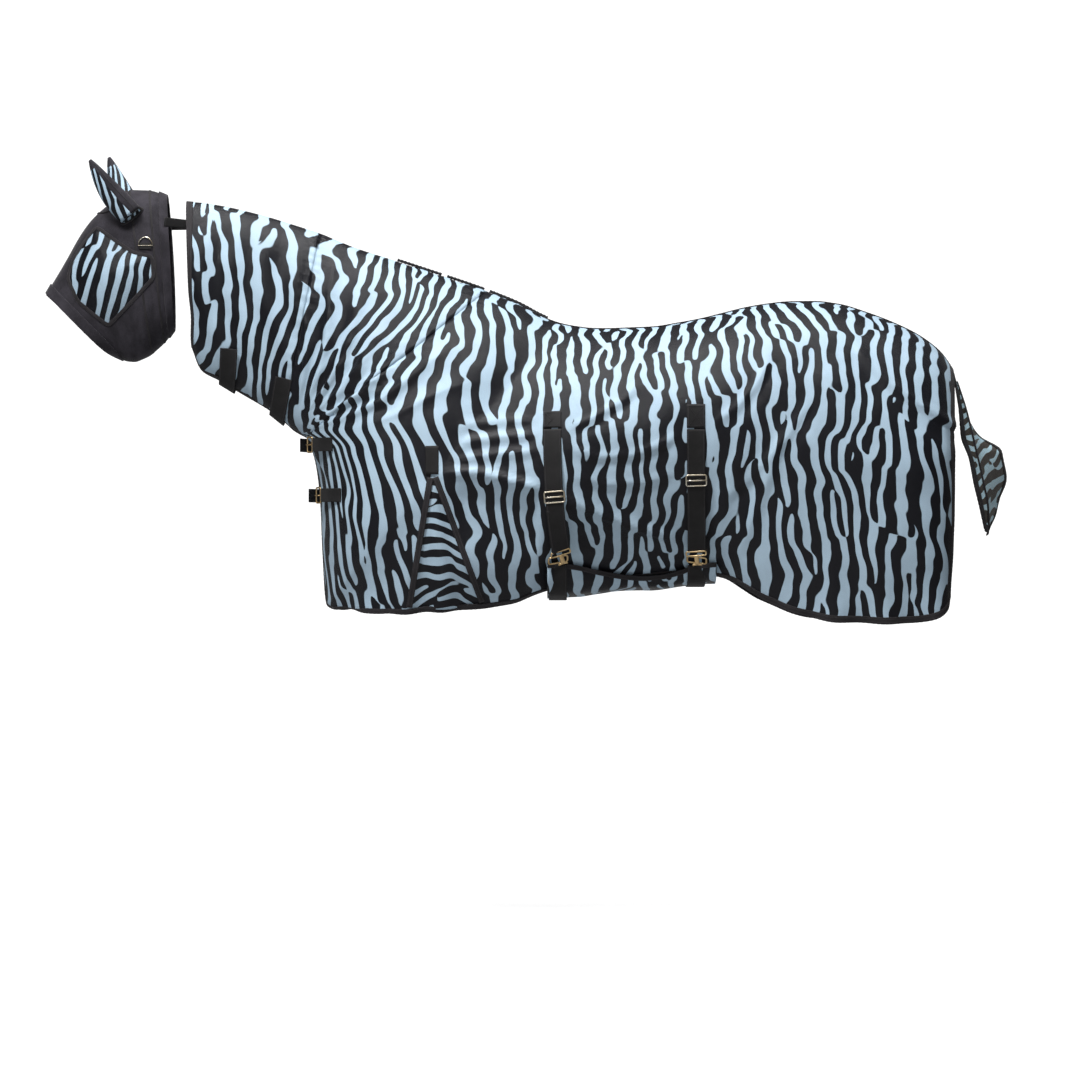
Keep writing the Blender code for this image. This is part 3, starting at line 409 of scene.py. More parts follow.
@dataclass(frozen=True)
class WovenBand:
    """Narrow woven polyester or polypropylene, with its stitch rows."""

    name: str
    colour: tuple[float, ...]
    thread: tuple[float, ...] = (0.045, 0.042, 0.048, 1)
    pitch: float = 0.0022
    seam: float = 0.0045
    sheen: float = 0.06
    roughness: float = 0.62

    def make(self) -> bpy.types.Material:
        """The material."""
        made, w, shader = plain_material(self.name)
        cloth = w.put("ShaderNodeUVMap", uv_map="cloth").outputs[0]
        weave = w.effect(EFFECTS.ribs(), Vector=cloth, Pitch=self.pitch)
        sewn = w.effect(EFFECTS.stitches(), Vector=cloth, Offset=self.seam)
        fading = w.effect(EFFECTS.dust(), Vector=cloth, Scale=12.0, Amount=0.8)
        # Painted shade: the band's colour darkens to 0.55 in the low parts of the weave.
        base = w.mix(weave["Shade"], tinted(self.colour, 0.55), self.colour)
        base = w.mix(fading["Mask"], base, tinted(self.colour, 1.7, 0.004))
        w.feed(shader.inputs["Base Color"], w.mix(sewn["Thread"], base, self.thread))
        w.feed(shader.inputs["Roughness"], w.maths("ADD", self.roughness,
                                                   w.maths("MULTIPLY", fading["Grain"], 0.15)))
        high = w.maths("SUBTRACT", w.maths("ADD", w.maths("MULTIPLY", weave["Height"], 0.5),
                                           w.maths("MULTIPLY", sewn["Thread"], 1.2)), sewn["Pucker"])
        bump = w.put("ShaderNodeBump", {"Strength": 0.55, "Distance": 0.0006, "Height": high})
        w.feed(shader.inputs["Normal"], bump.outputs[0])
        shader.inputs["Sheen Weight"].default_value = self.sheen
        shader.inputs["Specular IOR Level"].default_value = 0.28
        return made


@dataclass(frozen=True)
class Fleece:
    """Brushed stretch fabric."""

    name: str
    colour: tuple[float, ...] = (0.020, 0.018, 0.023, 1)

    def make(self) -> bpy.types.Material:
        """The material."""
        made, w, shader = plain_material(self.name)
        cloth = w.put("ShaderNodeUVMap", uv_map="cloth").outputs[0]
        pile = w.noise(cloth, 900.0, 3.0, 0.7).outputs["Fac"]
        nap = w.noise(cloth, 60.0, 3.0, 0.6).outputs["Fac"]
        fading = w.effect(EFFECTS.dust(), Vector=cloth, Scale=14.0, Amount=0.9)
        base = w.mix(nap, tinted(self.colour, 0.6), self.colour)
        w.feed(shader.inputs["Base Color"], w.mix(fading["Mask"], base, tinted(self.colour, 2.0, 0.004)))
        w.feed(shader.inputs["Roughness"], w.maths("ADD", 0.72, w.maths("MULTIPLY", nap, 0.2)))
        high = w.maths("ADD", w.maths("MULTIPLY", pile, 0.5), nap)
        bump = w.put("ShaderNodeBump", {"Strength": 0.5, "Distance": 0.0012, "Height": high})
        w.feed(shader.inputs["Normal"], bump.outputs[0])
        shader.inputs["Sheen Weight"].default_value = 0.16
        shader.inputs["Specular IOR Level"].default_value = 0.20
        shader.inputs["Sheen Roughness"].default_value = 0.4
        return made


@dataclass(frozen=True)
class Plated:
    """Plated metal with brushed scratches and handling wear."""

    name: str
    colour: tuple[float, ...] = (0.66, 0.62, 0.53, 1)
    worn: tuple[float, ...] = (0.42, 0.33, 0.20, 1)
    roughness: float = 0.24

    def make(self) -> bpy.types.Material:
        """The material."""
        made, w, shader = plain_material(self.name)
        place = w.put("ShaderNodeTexCoord").outputs["Object"]
        wear = w.effect(EFFECTS.dust(), Vector=place, Scale=55.0, Amount=0.8)
        w.feed(shader.inputs["Base Color"], w.mix(wear["Mask"], self.colour, self.worn))
        w.feed(shader.inputs["Roughness"], w.maths("ADD", self.roughness,
                                                   w.maths("MULTIPLY", wear["Mask"], 0.22)))
        bump = w.put("ShaderNodeBump", {"Strength": 0.25, "Distance": 0.0003, "Height": wear["Grain"]})
        w.feed(shader.inputs["Normal"], bump.outputs[0])
        shader.inputs["Metallic"].default_value = 1.0
        return made


class Wardrobe:
    """Every finish of the sheet, each made once."""

    def __init__(self) -> None:
        """Makes the materials."""
        self.cloth = {Side.LEFT: PrintedMesh("zebra_mesh_left", seed=0.0).make(),
                      Side.RIGHT: PrintedMesh("zebra_mesh_right", seed=3.7).make()}
        self.gusset = PrintedMesh("zebra_mesh_gusset", seed=7.3, period=0.036).make()
        self.sheer = PrintedMesh("zebra_mesh_sheer", seed=5.1, period=0.036, alpha=0.93,
                                 dark_colour=(0.030, 0.022, 0.012, 1),
                                 light_colour=(0.62, 0.88, 1.0, 1)).make()
        self.eye = PrintedMesh("zebra_mesh_eye", seed=9.2, period=0.034, wander=0.03, alpha=0.97).make()
        self.ear = PrintedMesh("zebra_mesh_ear", seed=2.2, period=0.027, wander=0.03).make()
        self.binding = WovenBand("binding_tape", (0.014, 0.012, 0.014, 1), pitch=0.0016).make()
        self.webbing = WovenBand("black_webbing", (0.006, 0.0055, 0.006, 1), seam=0.0215).make()
        self.elastic = WovenBand("puckered_elastic", (0.016, 0.015, 0.017, 1), pitch=0.003).make()
        self.fleece = Fleece("mask_fleece").make()
        self.nickel = Plated("nickel_plate").make()
        self.brass = Plated("brass_plate", (0.70, 0.52, 0.28, 1), (0.40, 0.26, 0.12, 1), 0.30).make()


# ---------------------------------------------------------------- meshes


def unit(vectors: Array) -> Array:
    """Vectors made one long."""
    length = np.linalg.norm(vectors, axis=-1, keepdims=True)
    return vectors / np.maximum(length, 1e-12)


def smooth(value: Array | float, low: float, high: float) -> Array:
    """A smooth step from 0 at low to 1 at high."""
    share = np.clip((np.asarray(value, float) - low) / (high - low), 0, 1)
    return share * share * (3 - 2 * share)


def bell(value: Array | float, middle: float, width: float) -> Array:
    """A rounded rise of height 1 at the middle."""
    return np.exp(-((value - middle) / width) ** 2)


def tapered(run: Array, start: float, end: float) -> Array:
    """1 along a line, easing to 0 before the start share and after the end share."""
    return smooth(run, 0.0, start) * smooth(-run, -1.0, -end)


def eased(table: Array, at: Array | float) -> Array:
    """Monotone cubic through the rows of a table.

    Args:
        table: One row a knot, with knots at 0, 1, 2 and so on.
        at: Where to read it.

    Returns:
        A row for each place.
    """
    table = np.asarray(table, float)
    at = np.asarray(at, float)
    rise = np.diff(table, axis=0)
    slope = np.zeros_like(table)
    slope[0], slope[-1] = rise[0], rise[-1]
    product, total = rise[:-1] * rise[1:], rise[:-1] + rise[1:]
    safe = np.where(np.abs(total) < 1e-12, 1.0, total)
    slope[1:-1] = np.where(product > 0, 2 * product / safe, 0)
    i = np.clip(np.floor(at).astype(int), 0, len(rise) - 1)
    s = (at - i)[..., None]
    return ((1 + 2 * s) * (1 - s) ** 2 * table[i] + s * (1 - s) ** 2 * slope[i]
            + s * s * (3 - 2 * s) * table[i + 1] + s * s * (s - 1) * slope[i + 1])


def through(points: Sequence[Point], count: int) -> Array:
    """A smooth line with count points through the given ones."""
    return eased(np.array(points, float), np.linspace(0, len(points) - 1, count))


def lengths(line: Array) -> Array:
    """How far along a line each of its points is."""
    return np.concatenate([[0], np.cumsum(np.linalg.norm(np.diff(line, axis=0), axis=1))])


def spans(grid: Array) -> Array:
    """How far along its row each point of a grid is."""
    steps = np.cumsum(np.linalg.norm(np.diff(grid, axis=1), axis=-1), axis=1)
    return np.concatenate([np.zeros((len(grid), 1)), steps], axis=1)


def read_at(values: Array, at: Array, run: Array) -> Array:
    """Rows of values known at the places in run, read at other places."""
    return np.stack([np.interp(at, run, values[:, k]) for k in range(values.shape[1])], axis=1)


def evenly(line: Array, spacing: float) -> Array:
    """A line's points spaced evenly along it."""
    run = lengths(line)
    count = max(int(run[-1] / spacing), 2)
    return read_at(line, np.linspace(0, run[-1], count + 1), run)


def make_mesh(name: str, points: Array, faces: Sequence[Sequence[int]], plane: Array,
              finish: bpy.types.Material) -> bpy.types.Object:
    """An object in the scene, smooth shaded, with its flat cloth coordinates.

    Args:
        name: The piece's name.
        points: Its vertices.
        faces: Their indices.
        plane: The cloth coordinates of each vertex, in metres.
        finish: Its material.

    Returns:
        The object.
    """
    mesh = bpy.data.meshes.new(name)
    mesh.from_pydata(np.asarray(points).reshape(-1, 3).tolist(), [], [tuple(f) for f in faces])
    layer = mesh.uv_layers.new(name="cloth")
    corner = np.empty(len(mesh.loops), np.int32)
    mesh.loops.foreach_get("vertex_index", corner)
    layer.data.foreach_set("uv", np.asarray(plane, np.float32).reshape(-1, 2)[corner].ravel())
    mesh.polygons.foreach_set("use_smooth", np.ones(len(mesh.polygons), bool))
    mesh.materials.append(finish)
    made = bpy.data.objects.new(name, mesh)
    bpy.context.scene.collection.objects.link(made)
    return made


def grid_faces(rows: int, columns: int, loop: bool = False) -> list[tuple[int, ...]]:
    """The faces of a grid of rows by columns of points; loop joins the last column to the first."""
    made = []
    for i in range(rows - 1):
        for j in range(columns if loop else columns - 1):
            k = (j + 1) % columns
            made.append((i * columns + j, i * columns + k, (i + 1) * columns + k, (i + 1) * columns + j))
    return made


def ahead_of(line: Array, closed: bool) -> Array:
    """The direction that a line, or a ring, runs in at each of its points."""
    return unit(np.roll(line, -1, axis=0) - np.roll(line, 1, axis=0) if closed else np.gradient(line, axis=0))


def swept(name: str, points: Array, plane: Array, finish: bpy.types.Material,
          closed: bool) -> bpy.types.Object:
    """A closed mesh through a row of rings of points: itself a ring, or capped at both ends."""
    rows, count = points.shape[:2]
    faces = grid_faces(rows, count, loop=True)
    last = (rows - 1) * count
    if closed:
        faces += [(last + j, last + (j + 1) % count, (j + 1) % count, j) for j in range(count)]
    else:
        faces += [tuple(reversed(range(count))), tuple(range(last, last + count))]
    made = make_mesh(name, points, faces, plane, finish)
    fix_normals(made)
    return made


def thicken(piece: bpy.types.Object, thickness: float) -> bpy.types.Object:
    """Gives an open surface its cloth's thickness, half to each side."""
    shell = piece.modifiers.new("Thickness", "SOLIDIFY")
    shell.thickness = thickness
    shell.offset = 0
    return piece


def hang(piece: bpy.types.Object, body: str, slot: Slot, *nodes: str) -> bpy.types.Object:
    """Puts a piece on its body and hides the nodes that it stands for."""
    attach(piece, body)
    if nodes:
        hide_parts(*nodes)
    LOG.info("%s on %s for %s", piece.name, body, ", ".join(nodes) or "nothing hidden")
    return piece


def body_of(node: str) -> str:
    """The CAD body that a node rides on."""
    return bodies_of(frame["nodes"][node])[0]


@dataclass
class Tape:
    """A flat band with soft edges, swept along a line."""

    width: float
    thickness: float
    finish: bpy.types.Material
    pucker: float = 0.0
    pucker_pitch: float = 0.013

    LOWER = ((-1, -0.35), (-0.96, -0.85), (-0.80, -1), (-0.4, -1), (0, -1), (0.4, -1), (0.80, -1),
             (0.96, -0.85), (1, -0.35))
    OUTLINE = LOWER + tuple((-x, -y) for x, y in LOWER)

    def sweep(self, name: str, line: Array, outs: Array, closed: bool = False,
              sideways: Array | None = None) -> bpy.types.Object:
        """The band as a closed mesh.

        Args:
            name: The piece's name.
            line: Points along its middle.
            outs: The direction that its face looks in at each point.
            closed: Whether the line is a ring.
            sideways: The direction across the band, where it isn't square to the line.

        Returns:
            The object.
        """
        line, outs = np.asarray(line, float), unit(np.asarray(outs, float))
        along = ahead_of(line, closed)
        across = unit(np.cross(along, outs)) if sideways is None else unit(np.asarray(sideways, float))
        face = unit(np.cross(across, along))
        run = lengths(line)
        wave = np.sin(2 * np.pi * run / self.pucker_pitch + 1.1 * np.sin(run * 37.0))
        wide = self.width / 2 * (1 + 0.25 * self.pucker * wave)
        deep = self.thickness / 2 * (1 + self.pucker * wave)
        outline = np.array(self.OUTLINE)
        points = (line[:, None] + across[:, None] * (outline[:, 0] * wide[:, None])[..., None]
                  + face[:, None] * (outline[:, 1] * deep[:, None])[..., None])
        plane = np.stack([np.broadcast_to(run[:, None], points.shape[:2]),
                          outline[:, 0] * wide[:, None]], axis=-1)
        return swept(name, points, plane, self.finish, closed)


def fix_normals(piece: bpy.types.Object) -> None:
    """Turns every face of a closed mesh outwards."""
    solid = bmesh.new()
    solid.from_mesh(piece.data)
    bmesh.ops.recalc_face_normals(solid, faces=solid.faces)
    solid.to_mesh(piece.data)
    solid.free()


def tube(name: str, line: Array, radius: float, finish: bpy.types.Material, closed: bool = False,
         flat: float = 1.0, outs: Array | None = None) -> bpy.types.Object:
    """A round or oval bar along a line.

    Args:
        name: The piece's name.
        line: Points along its middle.
        radius: Its radius.
        finish: Its material.
        closed: Whether the line is a ring.
        flat: Its depth along outs as a share of its width.
        outs: The direction of that depth at each point.

    Returns:
        The object.
    """
    line = np.asarray(line, float)
    along = ahead_of(line, closed)
    outs = np.broadcast_to((0.03, 1.0, 0.05) if outs is None else outs, line.shape)
    across = unit(np.cross(along, outs))
    face = unit(np.cross(across, along))
    turn = np.linspace(0, 2 * np.pi, 12, endpoint=False)
    points = (line[:, None] + across[:, None] * (radius * np.cos(turn))[None, :, None]
              + face[:, None] * (radius * flat * np.sin(turn))[None, :, None])
    plane = np.stack([np.broadcast_to(lengths(line)[:, None], points.shape[:2]),
                      np.broadcast_to(radius * turn[None], points.shape[:2])], axis=-1)
    return swept(name, points, plane, finish, closed)


def joined(name: str, pieces: Sequence[bpy.types.Object]) -> bpy.types.Object:
    """Several meshes as one object."""
    whole = bmesh.new()
    whole.loops.layers.uv.new("cloth")
    for piece in pieces:
        whole.from_mesh(piece.data)
    mesh = bpy.data.meshes.new(name)
    whole.to_mesh(mesh)
    whole.free()
    for finish in pieces[0].data.materials:
        mesh.materials.append(finish)
    for piece in pieces:
        bpy.data.objects.remove(piece)
    made = bpy.data.objects.new(name, mesh)
    bpy.context.scene.collection.objects.link(made)
    return made


@dataclass
class PlateFrame:
    """Where a small metal CAD node is: its middle, its axes and its sides."""

    centre: Array
    wide: Array
    tall: Array
    out: Array
    size: Array

    @classmethod
    def of(cls, node: str, up: Point = (0, 0, 1), away: Point = (0, -1, 0)) -> PlateFrame:
        """Reads the frame from a node's own points.

        Args:
            node: The CAD node.
            up: Roughly where its tall side points.
            away: Roughly where its face looks.

        Returns:
            The frame.
        """
        points = np.array([v.co[:] for v in frame["nodes"][node].data.vertices])
        middle = points.mean(axis=0)
        _, _, axes = np.linalg.svd(points - middle, full_matrices=False)
        wide, tall, out = axes
        tall = tall if tall @ np.array(up) > 0 else -tall
        out = out if out @ np.array(away) > 0 else -out
        wide = np.cross(out, tall)
        local = (points - middle) @ np.stack([wide, tall, out]).T
        low, high = local.min(axis=0), local.max(axis=0)
        centre = middle + (low + high) / 2 @ np.stack([wide, tall, out])
        return cls(centre, wide, tall, out, high - low)

    def at(self, x: Array | float, y: Array | float, z: Array | float = 0.0) -> Array:
        """Points at wide, tall and out offsets from the middle."""
        x, y, z = np.broadcast_arrays(np.asarray(x, float), np.asarray(y, float), np.asarray(z, float))
        return self.centre + x[..., None] * self.wide + y[..., None] * self.tall + z[..., None] * self.out


def rounded_ring(width: float, height: float, corner: float, count: int = 6) -> tuple[Array, Array]:
    """The x and y of a rectangle with rounded corners."""
    xs, ys = [], []
    for cx, cy, start in ((1, 1, 0), (-1, 1, 1), (-1, -1, 2), (1, -1, 3)):
        turn = (start + np.linspace(0, 1, count)) * np.pi / 2
        xs.append(cx * (width / 2 - corner) + corner * np.cos(turn))
        ys.append(cy * (height / 2 - corner) + corner * np.sin(turn))
    return np.concatenate(xs), np.concatenate(ys)


# ---------------------------------------------------------------- the sheet


class WornShape:
    """The sheet as it hangs: u runs from the poll to the tail and v from the crest to the edge."""

    STATIONS = (
        (-1.025, 0.336, -1.010, -0.070, 0.082, 0.50, 0.004, 0.50),
        (-0.985, 0.333, -0.983, -0.134, 0.087, 0.50, 0.004, 0.50),
        (-0.916, 0.322, -0.927, -0.166, 0.092, 0.50, 0.004, 0.50),
        (-0.812, 0.297, -0.868, -0.202, 0.100, 0.50, 0.004, 0.50),
        (-0.720, 0.269, -0.798, -0.243, 0.108, 0.50, 0.004, 0.50),
        (-0.650, 0.246, -0.750, -0.280, 0.118, 0.50, 0.004, 0.50),
        (-0.563, 0.210, -0.722, -0.305, 0.135, 0.50, 0.004, 0.50),
        (-0.410, 0.160, -0.703, -0.316, 0.170, 0.52, 0.004, 0.50),
        (-0.185, 0.084, -0.688, -0.324, 0.225, 0.55, 0.004, 0.50),
        (-0.092, 0.046, -0.662, -0.400, 0.262, 0.56, 0.004, 0.50),
        (-0.040, 0.018, -0.650, -0.500, 0.285, 0.57, 0.005, 0.52),
        (0.000, 0.000, -0.643, -0.650, 0.300, 0.56, 0.012, 0.56),
        (0.035, -0.010, -0.630, -0.792, 0.308, 0.54, 0.045, 0.70),
        (0.070, -0.016, -0.550, -0.808, 0.312, 0.52, 0.150, 0.90),
        (0.105, -0.020, -0.460, -0.815, 0.316, 0.50, 0.215, 1.00),
        (0.150, -0.021, -0.360, -0.812, 0.320, 0.48, 0.225, 1.00),
        (0.210, -0.019, -0.240, -0.806, 0.324, 0.46, 0.205, 1.00),
        (0.280, -0.016, -0.120, -0.786, 0.326, 0.45, 0.170, 0.90),
        (0.345, -0.006, -0.010, -0.748, 0.326, 0.44, 0.130, 0.80),
        (0.410, 0.006, 0.110, -0.724, 0.326, 0.43, 0.110, 0.75),
        (0.475, 0.022, 0.240, -0.712, 0.325, 0.43, 0.105, 0.75),
        (0.540, 0.038, 0.370, -0.700, 0.324, 0.43, 0.110, 0.75),
        (0.600, 0.048, 0.480, -0.716, 0.322, 0.44, 0.150, 0.80),
        (0.660, 0.054, 0.585, -0.776, 0.318, 0.46, 0.205, 0.90),
        (0.730, 0.055, 0.690, -0.820, 0.312, 0.48, 0.240, 1.00),
        (0.800, 0.047, 0.790, -0.836, 0.305, 0.50, 0.252, 1.00),
        (0.880, 0.023, 0.890, -0.840, 0.295, 0.52, 0.250, 1.00),
        (0.960, -0.008, 0.980, -0.840, 0.280, 0.52, 0.240, 1.00),
        (1.030, -0.044, 1.050, -0.828, 0.258, 0.52, 0.225, 1.00),
        (1.085, -0.088, 1.090, -0.800, 0.228, 0.50, 0.205, 1.00),
        (1.116, -0.130, 1.104, -0.768, 0.195, 0.48, 0.180, 1.00),
    )
    KNOT = (-0.728, -0.318)
    CREASE = ((-0.328, -0.436), (-0.218, -0.430), (-0.146, -0.448), (-0.036, -0.476), (0.028, -0.501),
              (0.120, -0.540), (0.238, -0.580), (0.311, -0.602), (0.372, -0.641))
    FLANK_CREASE = ((0.640, -0.290), (0.600, -0.400), (0.560, -0.520), (0.505, -0.680))
    SWAGS = (
        (0.0065, ((-0.270, -0.345), (-0.150, -0.330), (-0.035, -0.320))),
        (0.0055, ((-0.275, -0.392), (-0.150, -0.376), (-0.035, -0.368))),
        (0.0045, ((-0.280, -0.300), (-0.160, -0.285), (-0.035, -0.278))),
        (0.0070, ((0.025, -0.350), (0.120, -0.384), (0.220, -0.378), (0.300, -0.346), (0.355, -0.315))),
        (0.0055, ((0.030, -0.310), (0.110, -0.276), (0.190, -0.228), (0.245, -0.170))),
        (0.0060, ((0.035, -0.428), (0.140, -0.458), (0.250, -0.452), (0.350, -0.420))),
        (0.0045, ((0.430, -0.300), (0.500, -0.250), (0.560, -0.180), (0.600, -0.100))),
        (0.0040, ((0.440, -0.520), (0.540, -0.440), (0.640, -0.330), (0.720, -0.200))),
    )
    STRAPS_AT = (-0.003, 0.395)
    CREST_BAND = 0.03
    HIP_DART = ((0.820, -0.081), (0.916, -0.185), (1.000, -0.244), (1.114, -0.305))

    def __init__(self) -> None:
        """Lays out both sides and what is dropped onto them."""
        self.table = np.array(self.STATIONS)
        u, v = np.linspace(0, REAR, 301), np.linspace(0, 1, 121)
        self.smooth_tree = self.tree(self.skin(*np.meshgrid(u, v, indexing="ij"), Side.LEFT))
        self.trees = {side: self.tree(self.folded(u, v, side)[0]) for side in Side}

    @staticmethod
    def tree(points: Array) -> BVHTree:
        """Something to drop points onto, from a grid of points."""
        rows, columns = points.shape[:2]
        return BVHTree.FromPolygons(points.reshape(-1, 3).tolist(), grid_faces(rows, columns))

    def skin(self, u: Array, v: Array, side: Side) -> Array:
        """Points of the smooth sheet."""
        x0, z0, x1, z1, wide, waist, edge, power = np.moveaxis(eased(self.table, u), -1, 0)
        turn = np.pi * v
        fall = np.clip(np.sin(np.pi * (v - 0.5)), 0, 1)
        upper = v < 0.5
        lower = edge + (wide - edge) * np.maximum(1 - fall ** 2, 0) ** power
        out = np.where(upper, wide * np.sin(turn), lower)
        down = np.where(upper, waist * (1 - np.cos(turn)), waist + (1 - waist) * fall)
        across = side.value * (SEAM_GAP + out)
        return np.stack((x0 + (x1 - x0) * down, across, z0 + (z1 - z0) * down), axis=-1)

    @staticmethod
    def from_line(x: Array, z: Array, line: Sequence[Point]) -> tuple[Array, Array]:
        """How far points are from a line, signed to its left, and how far along it, from 0 to 1."""
        line = np.array(line)
        best, run = np.full(x.shape, np.inf), np.zeros(x.shape)
        signed = np.zeros(x.shape)
        for i, (a, b) in enumerate(zip(line, line[1:])):
            d = b - a
            share = np.clip(((x - a[0]) * d[0] + (z - a[1]) * d[1]) / (d @ d), 0, 1)
            gap = np.hypot(x - a[0] - share * d[0], z - a[1] - share * d[1])
            near = gap < best
            turn = np.sign(d[0] * (z - a[1]) - d[1] * (x - a[0]))
            signed = np.where(near, gap * turn, signed)
            run = np.where(near, (i + share) / (len(line) - 1), run)
            best = np.minimum(best, gap)
        return signed, run

    @staticmethod
    def crumple(x: Array, z: Array, seed: float, coarse: float, fine: float) -> Array:
        """Soft uneven undulation between -1 and 1, from waves of several lengths and directions."""
        total = np.zeros(np.shape(x))
        for k in range(14):
            turn = seed + k * 2.399
            length = coarse + (fine - coarse) * k / 13
            phase = 1.7 * k * k + seed * 5
            push = 1.3 * np.sin(2 * np.pi * (x * np.sin(turn) - z * np.cos(turn)) / (length * 2.3) + phase)
            total = total + np.sin(2 * np.pi * (x * np.cos(turn) + z * np.sin(turn)) / length + phase + push)
        return total / 14 * 1.9

    def gathers(self, x: Array, z: Array, seed: float) -> Array:
        """Folds that fan out from the chest knot, and finer ones between them."""
        dx, dz = x - self.KNOT[0], z - self.KNOT[1]
        reach, angle = np.hypot(dx, dz), np.arctan2(dz, dx)
        fan = smooth(angle, 0.05, 0.40) * smooth(-angle, -1.60, -1.20)
        wave = np.sin(angle * 15 + 1.4 * np.sin(reach * 9 + seed) + seed)
        folds = (0.0100 * (1 - 2 * np.abs(wave) ** 0.8) * smooth(reach, 0.06, 0.20)
                 * smooth(-reach, -0.66, -0.20))
        fine = (0.0022 * np.sin(angle * 43 + 2 * np.sin(reach * 25)) * smooth(reach, 0.08, 0.18)
                * smooth(-reach, -0.40, -0.20))
        return (folds + fine) * fan

    def creases(self, x: Array, z: Array) -> Array:
        """The long crease, the drape folds, the flank's creases and the hip dart."""
        off, run = self.from_line(x, z, self.CREASE)
        ridge = 0.016 * bell(off, 0.006, 0.013)
        under = 0.026 * smooth(-off, 0.0, 0.08) * smooth(off, -0.26, -0.12)
        total = (ridge - under) * tapered(run, 0.10, 0.86)
        for depth, line in self.SWAGS:
            off, run = self.from_line(x, z, line)
            profile = bell(off, 0.0, 0.011) - 0.5 * bell(off, -0.022, 0.015)
            total = total + depth * profile * tapered(run, 0.22, 0.78)
        off, run = self.from_line(x, z, self.FLANK_CREASE)
        total = total + 0.009 * bell(off, 0.0, 0.016) * tapered(run, 0.25, 0.80)
        total = total + 0.006 * bell(off, -0.09, 0.022) * smooth(run, 0.1, 0.5) * smooth(-run, -1.0, -0.75)
        off, run = self.from_line(x, z, self.HIP_DART)
        dart = (-0.0050 * bell(off, -0.004, 0.0060) + 0.0060 * bell(off, 0.010, 0.014)
                - 0.0030 * bell(off, -0.030, 0.020))
        return total + dart * smooth(run, 0, 0.08)

    def drapes(self, u: Array, v: Array, x: Array, z: Array, seed: float) -> Array:
        """Flutes low on the body, hanging folds of the neck and the cloth's soft unevenness."""
        hind = smooth(x, 0.60, 0.78)
        front = smooth(-x, 0.22, 0.34) * smooth(u, 11.5, 12.6)
        flutes = smooth(v, 0.66, 1.0) * (
            0.010 * hind * np.sin(2 * np.pi * x / 0.145 + seed + 0.9 * np.sin(z * 9))
            + 0.006 * front * np.sin(2 * np.pi * x / 0.105 + 2 * seed))
        neck = smooth(-u, -5.2, -4.6) * smooth(v, 0.12, 0.4)
        hung = 0.0038 * neck * np.sin(2 * np.pi * (x + 0.16 * z) / 0.088 + 1.5 * np.sin(z * 14 + seed))
        soft = 0.0030 * self.crumple(x, z, seed, 0.34, 0.09) * smooth(v, 0.03, 0.14)
        broad = 0.0045 * self.crumple(x, z, seed + 1, 0.62, 0.30) * smooth(v, 0.10, 0.40)
        return flutes + hung + soft + broad

    @staticmethod
    def seams(u: Array, v: Array, place: Array) -> Array:
        """Small tucks and a ditch along the two seams of the neck cover."""
        x, z = place[..., 0], place[..., 2]
        seam = np.minimum(np.abs(u - NECK_SEAM), np.abs(u - BODY_SEAM))
        length = v * np.hypot(x - x[..., :1], z - z[..., :1]).max(axis=-1, keepdims=True)
        tucks = 0.0011 * np.sin(2 * np.pi * length / 0.021 + np.sin(length * 40)) * bell(seam, 0.0, 0.35)
        return tucks - 0.0022 * bell(seam, 0.0, 0.045)

    def held(self, u: Array, v: Array, x: Array, z: Array, side: Side) -> Array:
        """How free the cloth is to fold: 0 under the straps and under the belly flap, 1 elsewhere."""
        free = np.ones_like(x)
        if side is Side.LEFT:
            for strap in self.STRAPS_AT:
                beside = smooth(np.abs(x - strap), 0.026, 0.060)
                free = np.minimum(free, np.maximum(beside, smooth(z, -0.25, -0.19)))
        flap = smooth(-z, 0.600, 0.660) * smooth(x, -0.10, 0.0) * smooth(-x, -0.56, -0.47)
        keel = smooth(-v, -1.0, -0.90) + smooth(u, 11.5, 13.0)
        return free * (1 - flap) * np.minimum(keel, 1)

    def relief(self, u: Array, v: Array, place: Array, side: Side) -> Array:
        """How far the folds stand out of the smooth sheet."""
        x, z = place[..., 0], place[..., 2]
        seed = 0.4 if side is Side.LEFT else 2.9
        pulled = (0.0016 * np.sin(2 * np.pi * x / 0.017) * np.exp(-v / 0.035) * smooth(u, 6.6, 7.0)
                  * smooth(-u, -9.6, -9.0))
        total = (self.gathers(x, z, seed) + self.creases(x, z) + self.drapes(u, v, x, z, seed)
                 + self.seams(u, v, place) + pulled) * self.held(u, v, x, z, side)
        crest = smooth(v, 0.0, self.CREST_BAND)
        return total * crest + np.where(v < self.CREST_BAND, pulled * (1 - crest), 0)

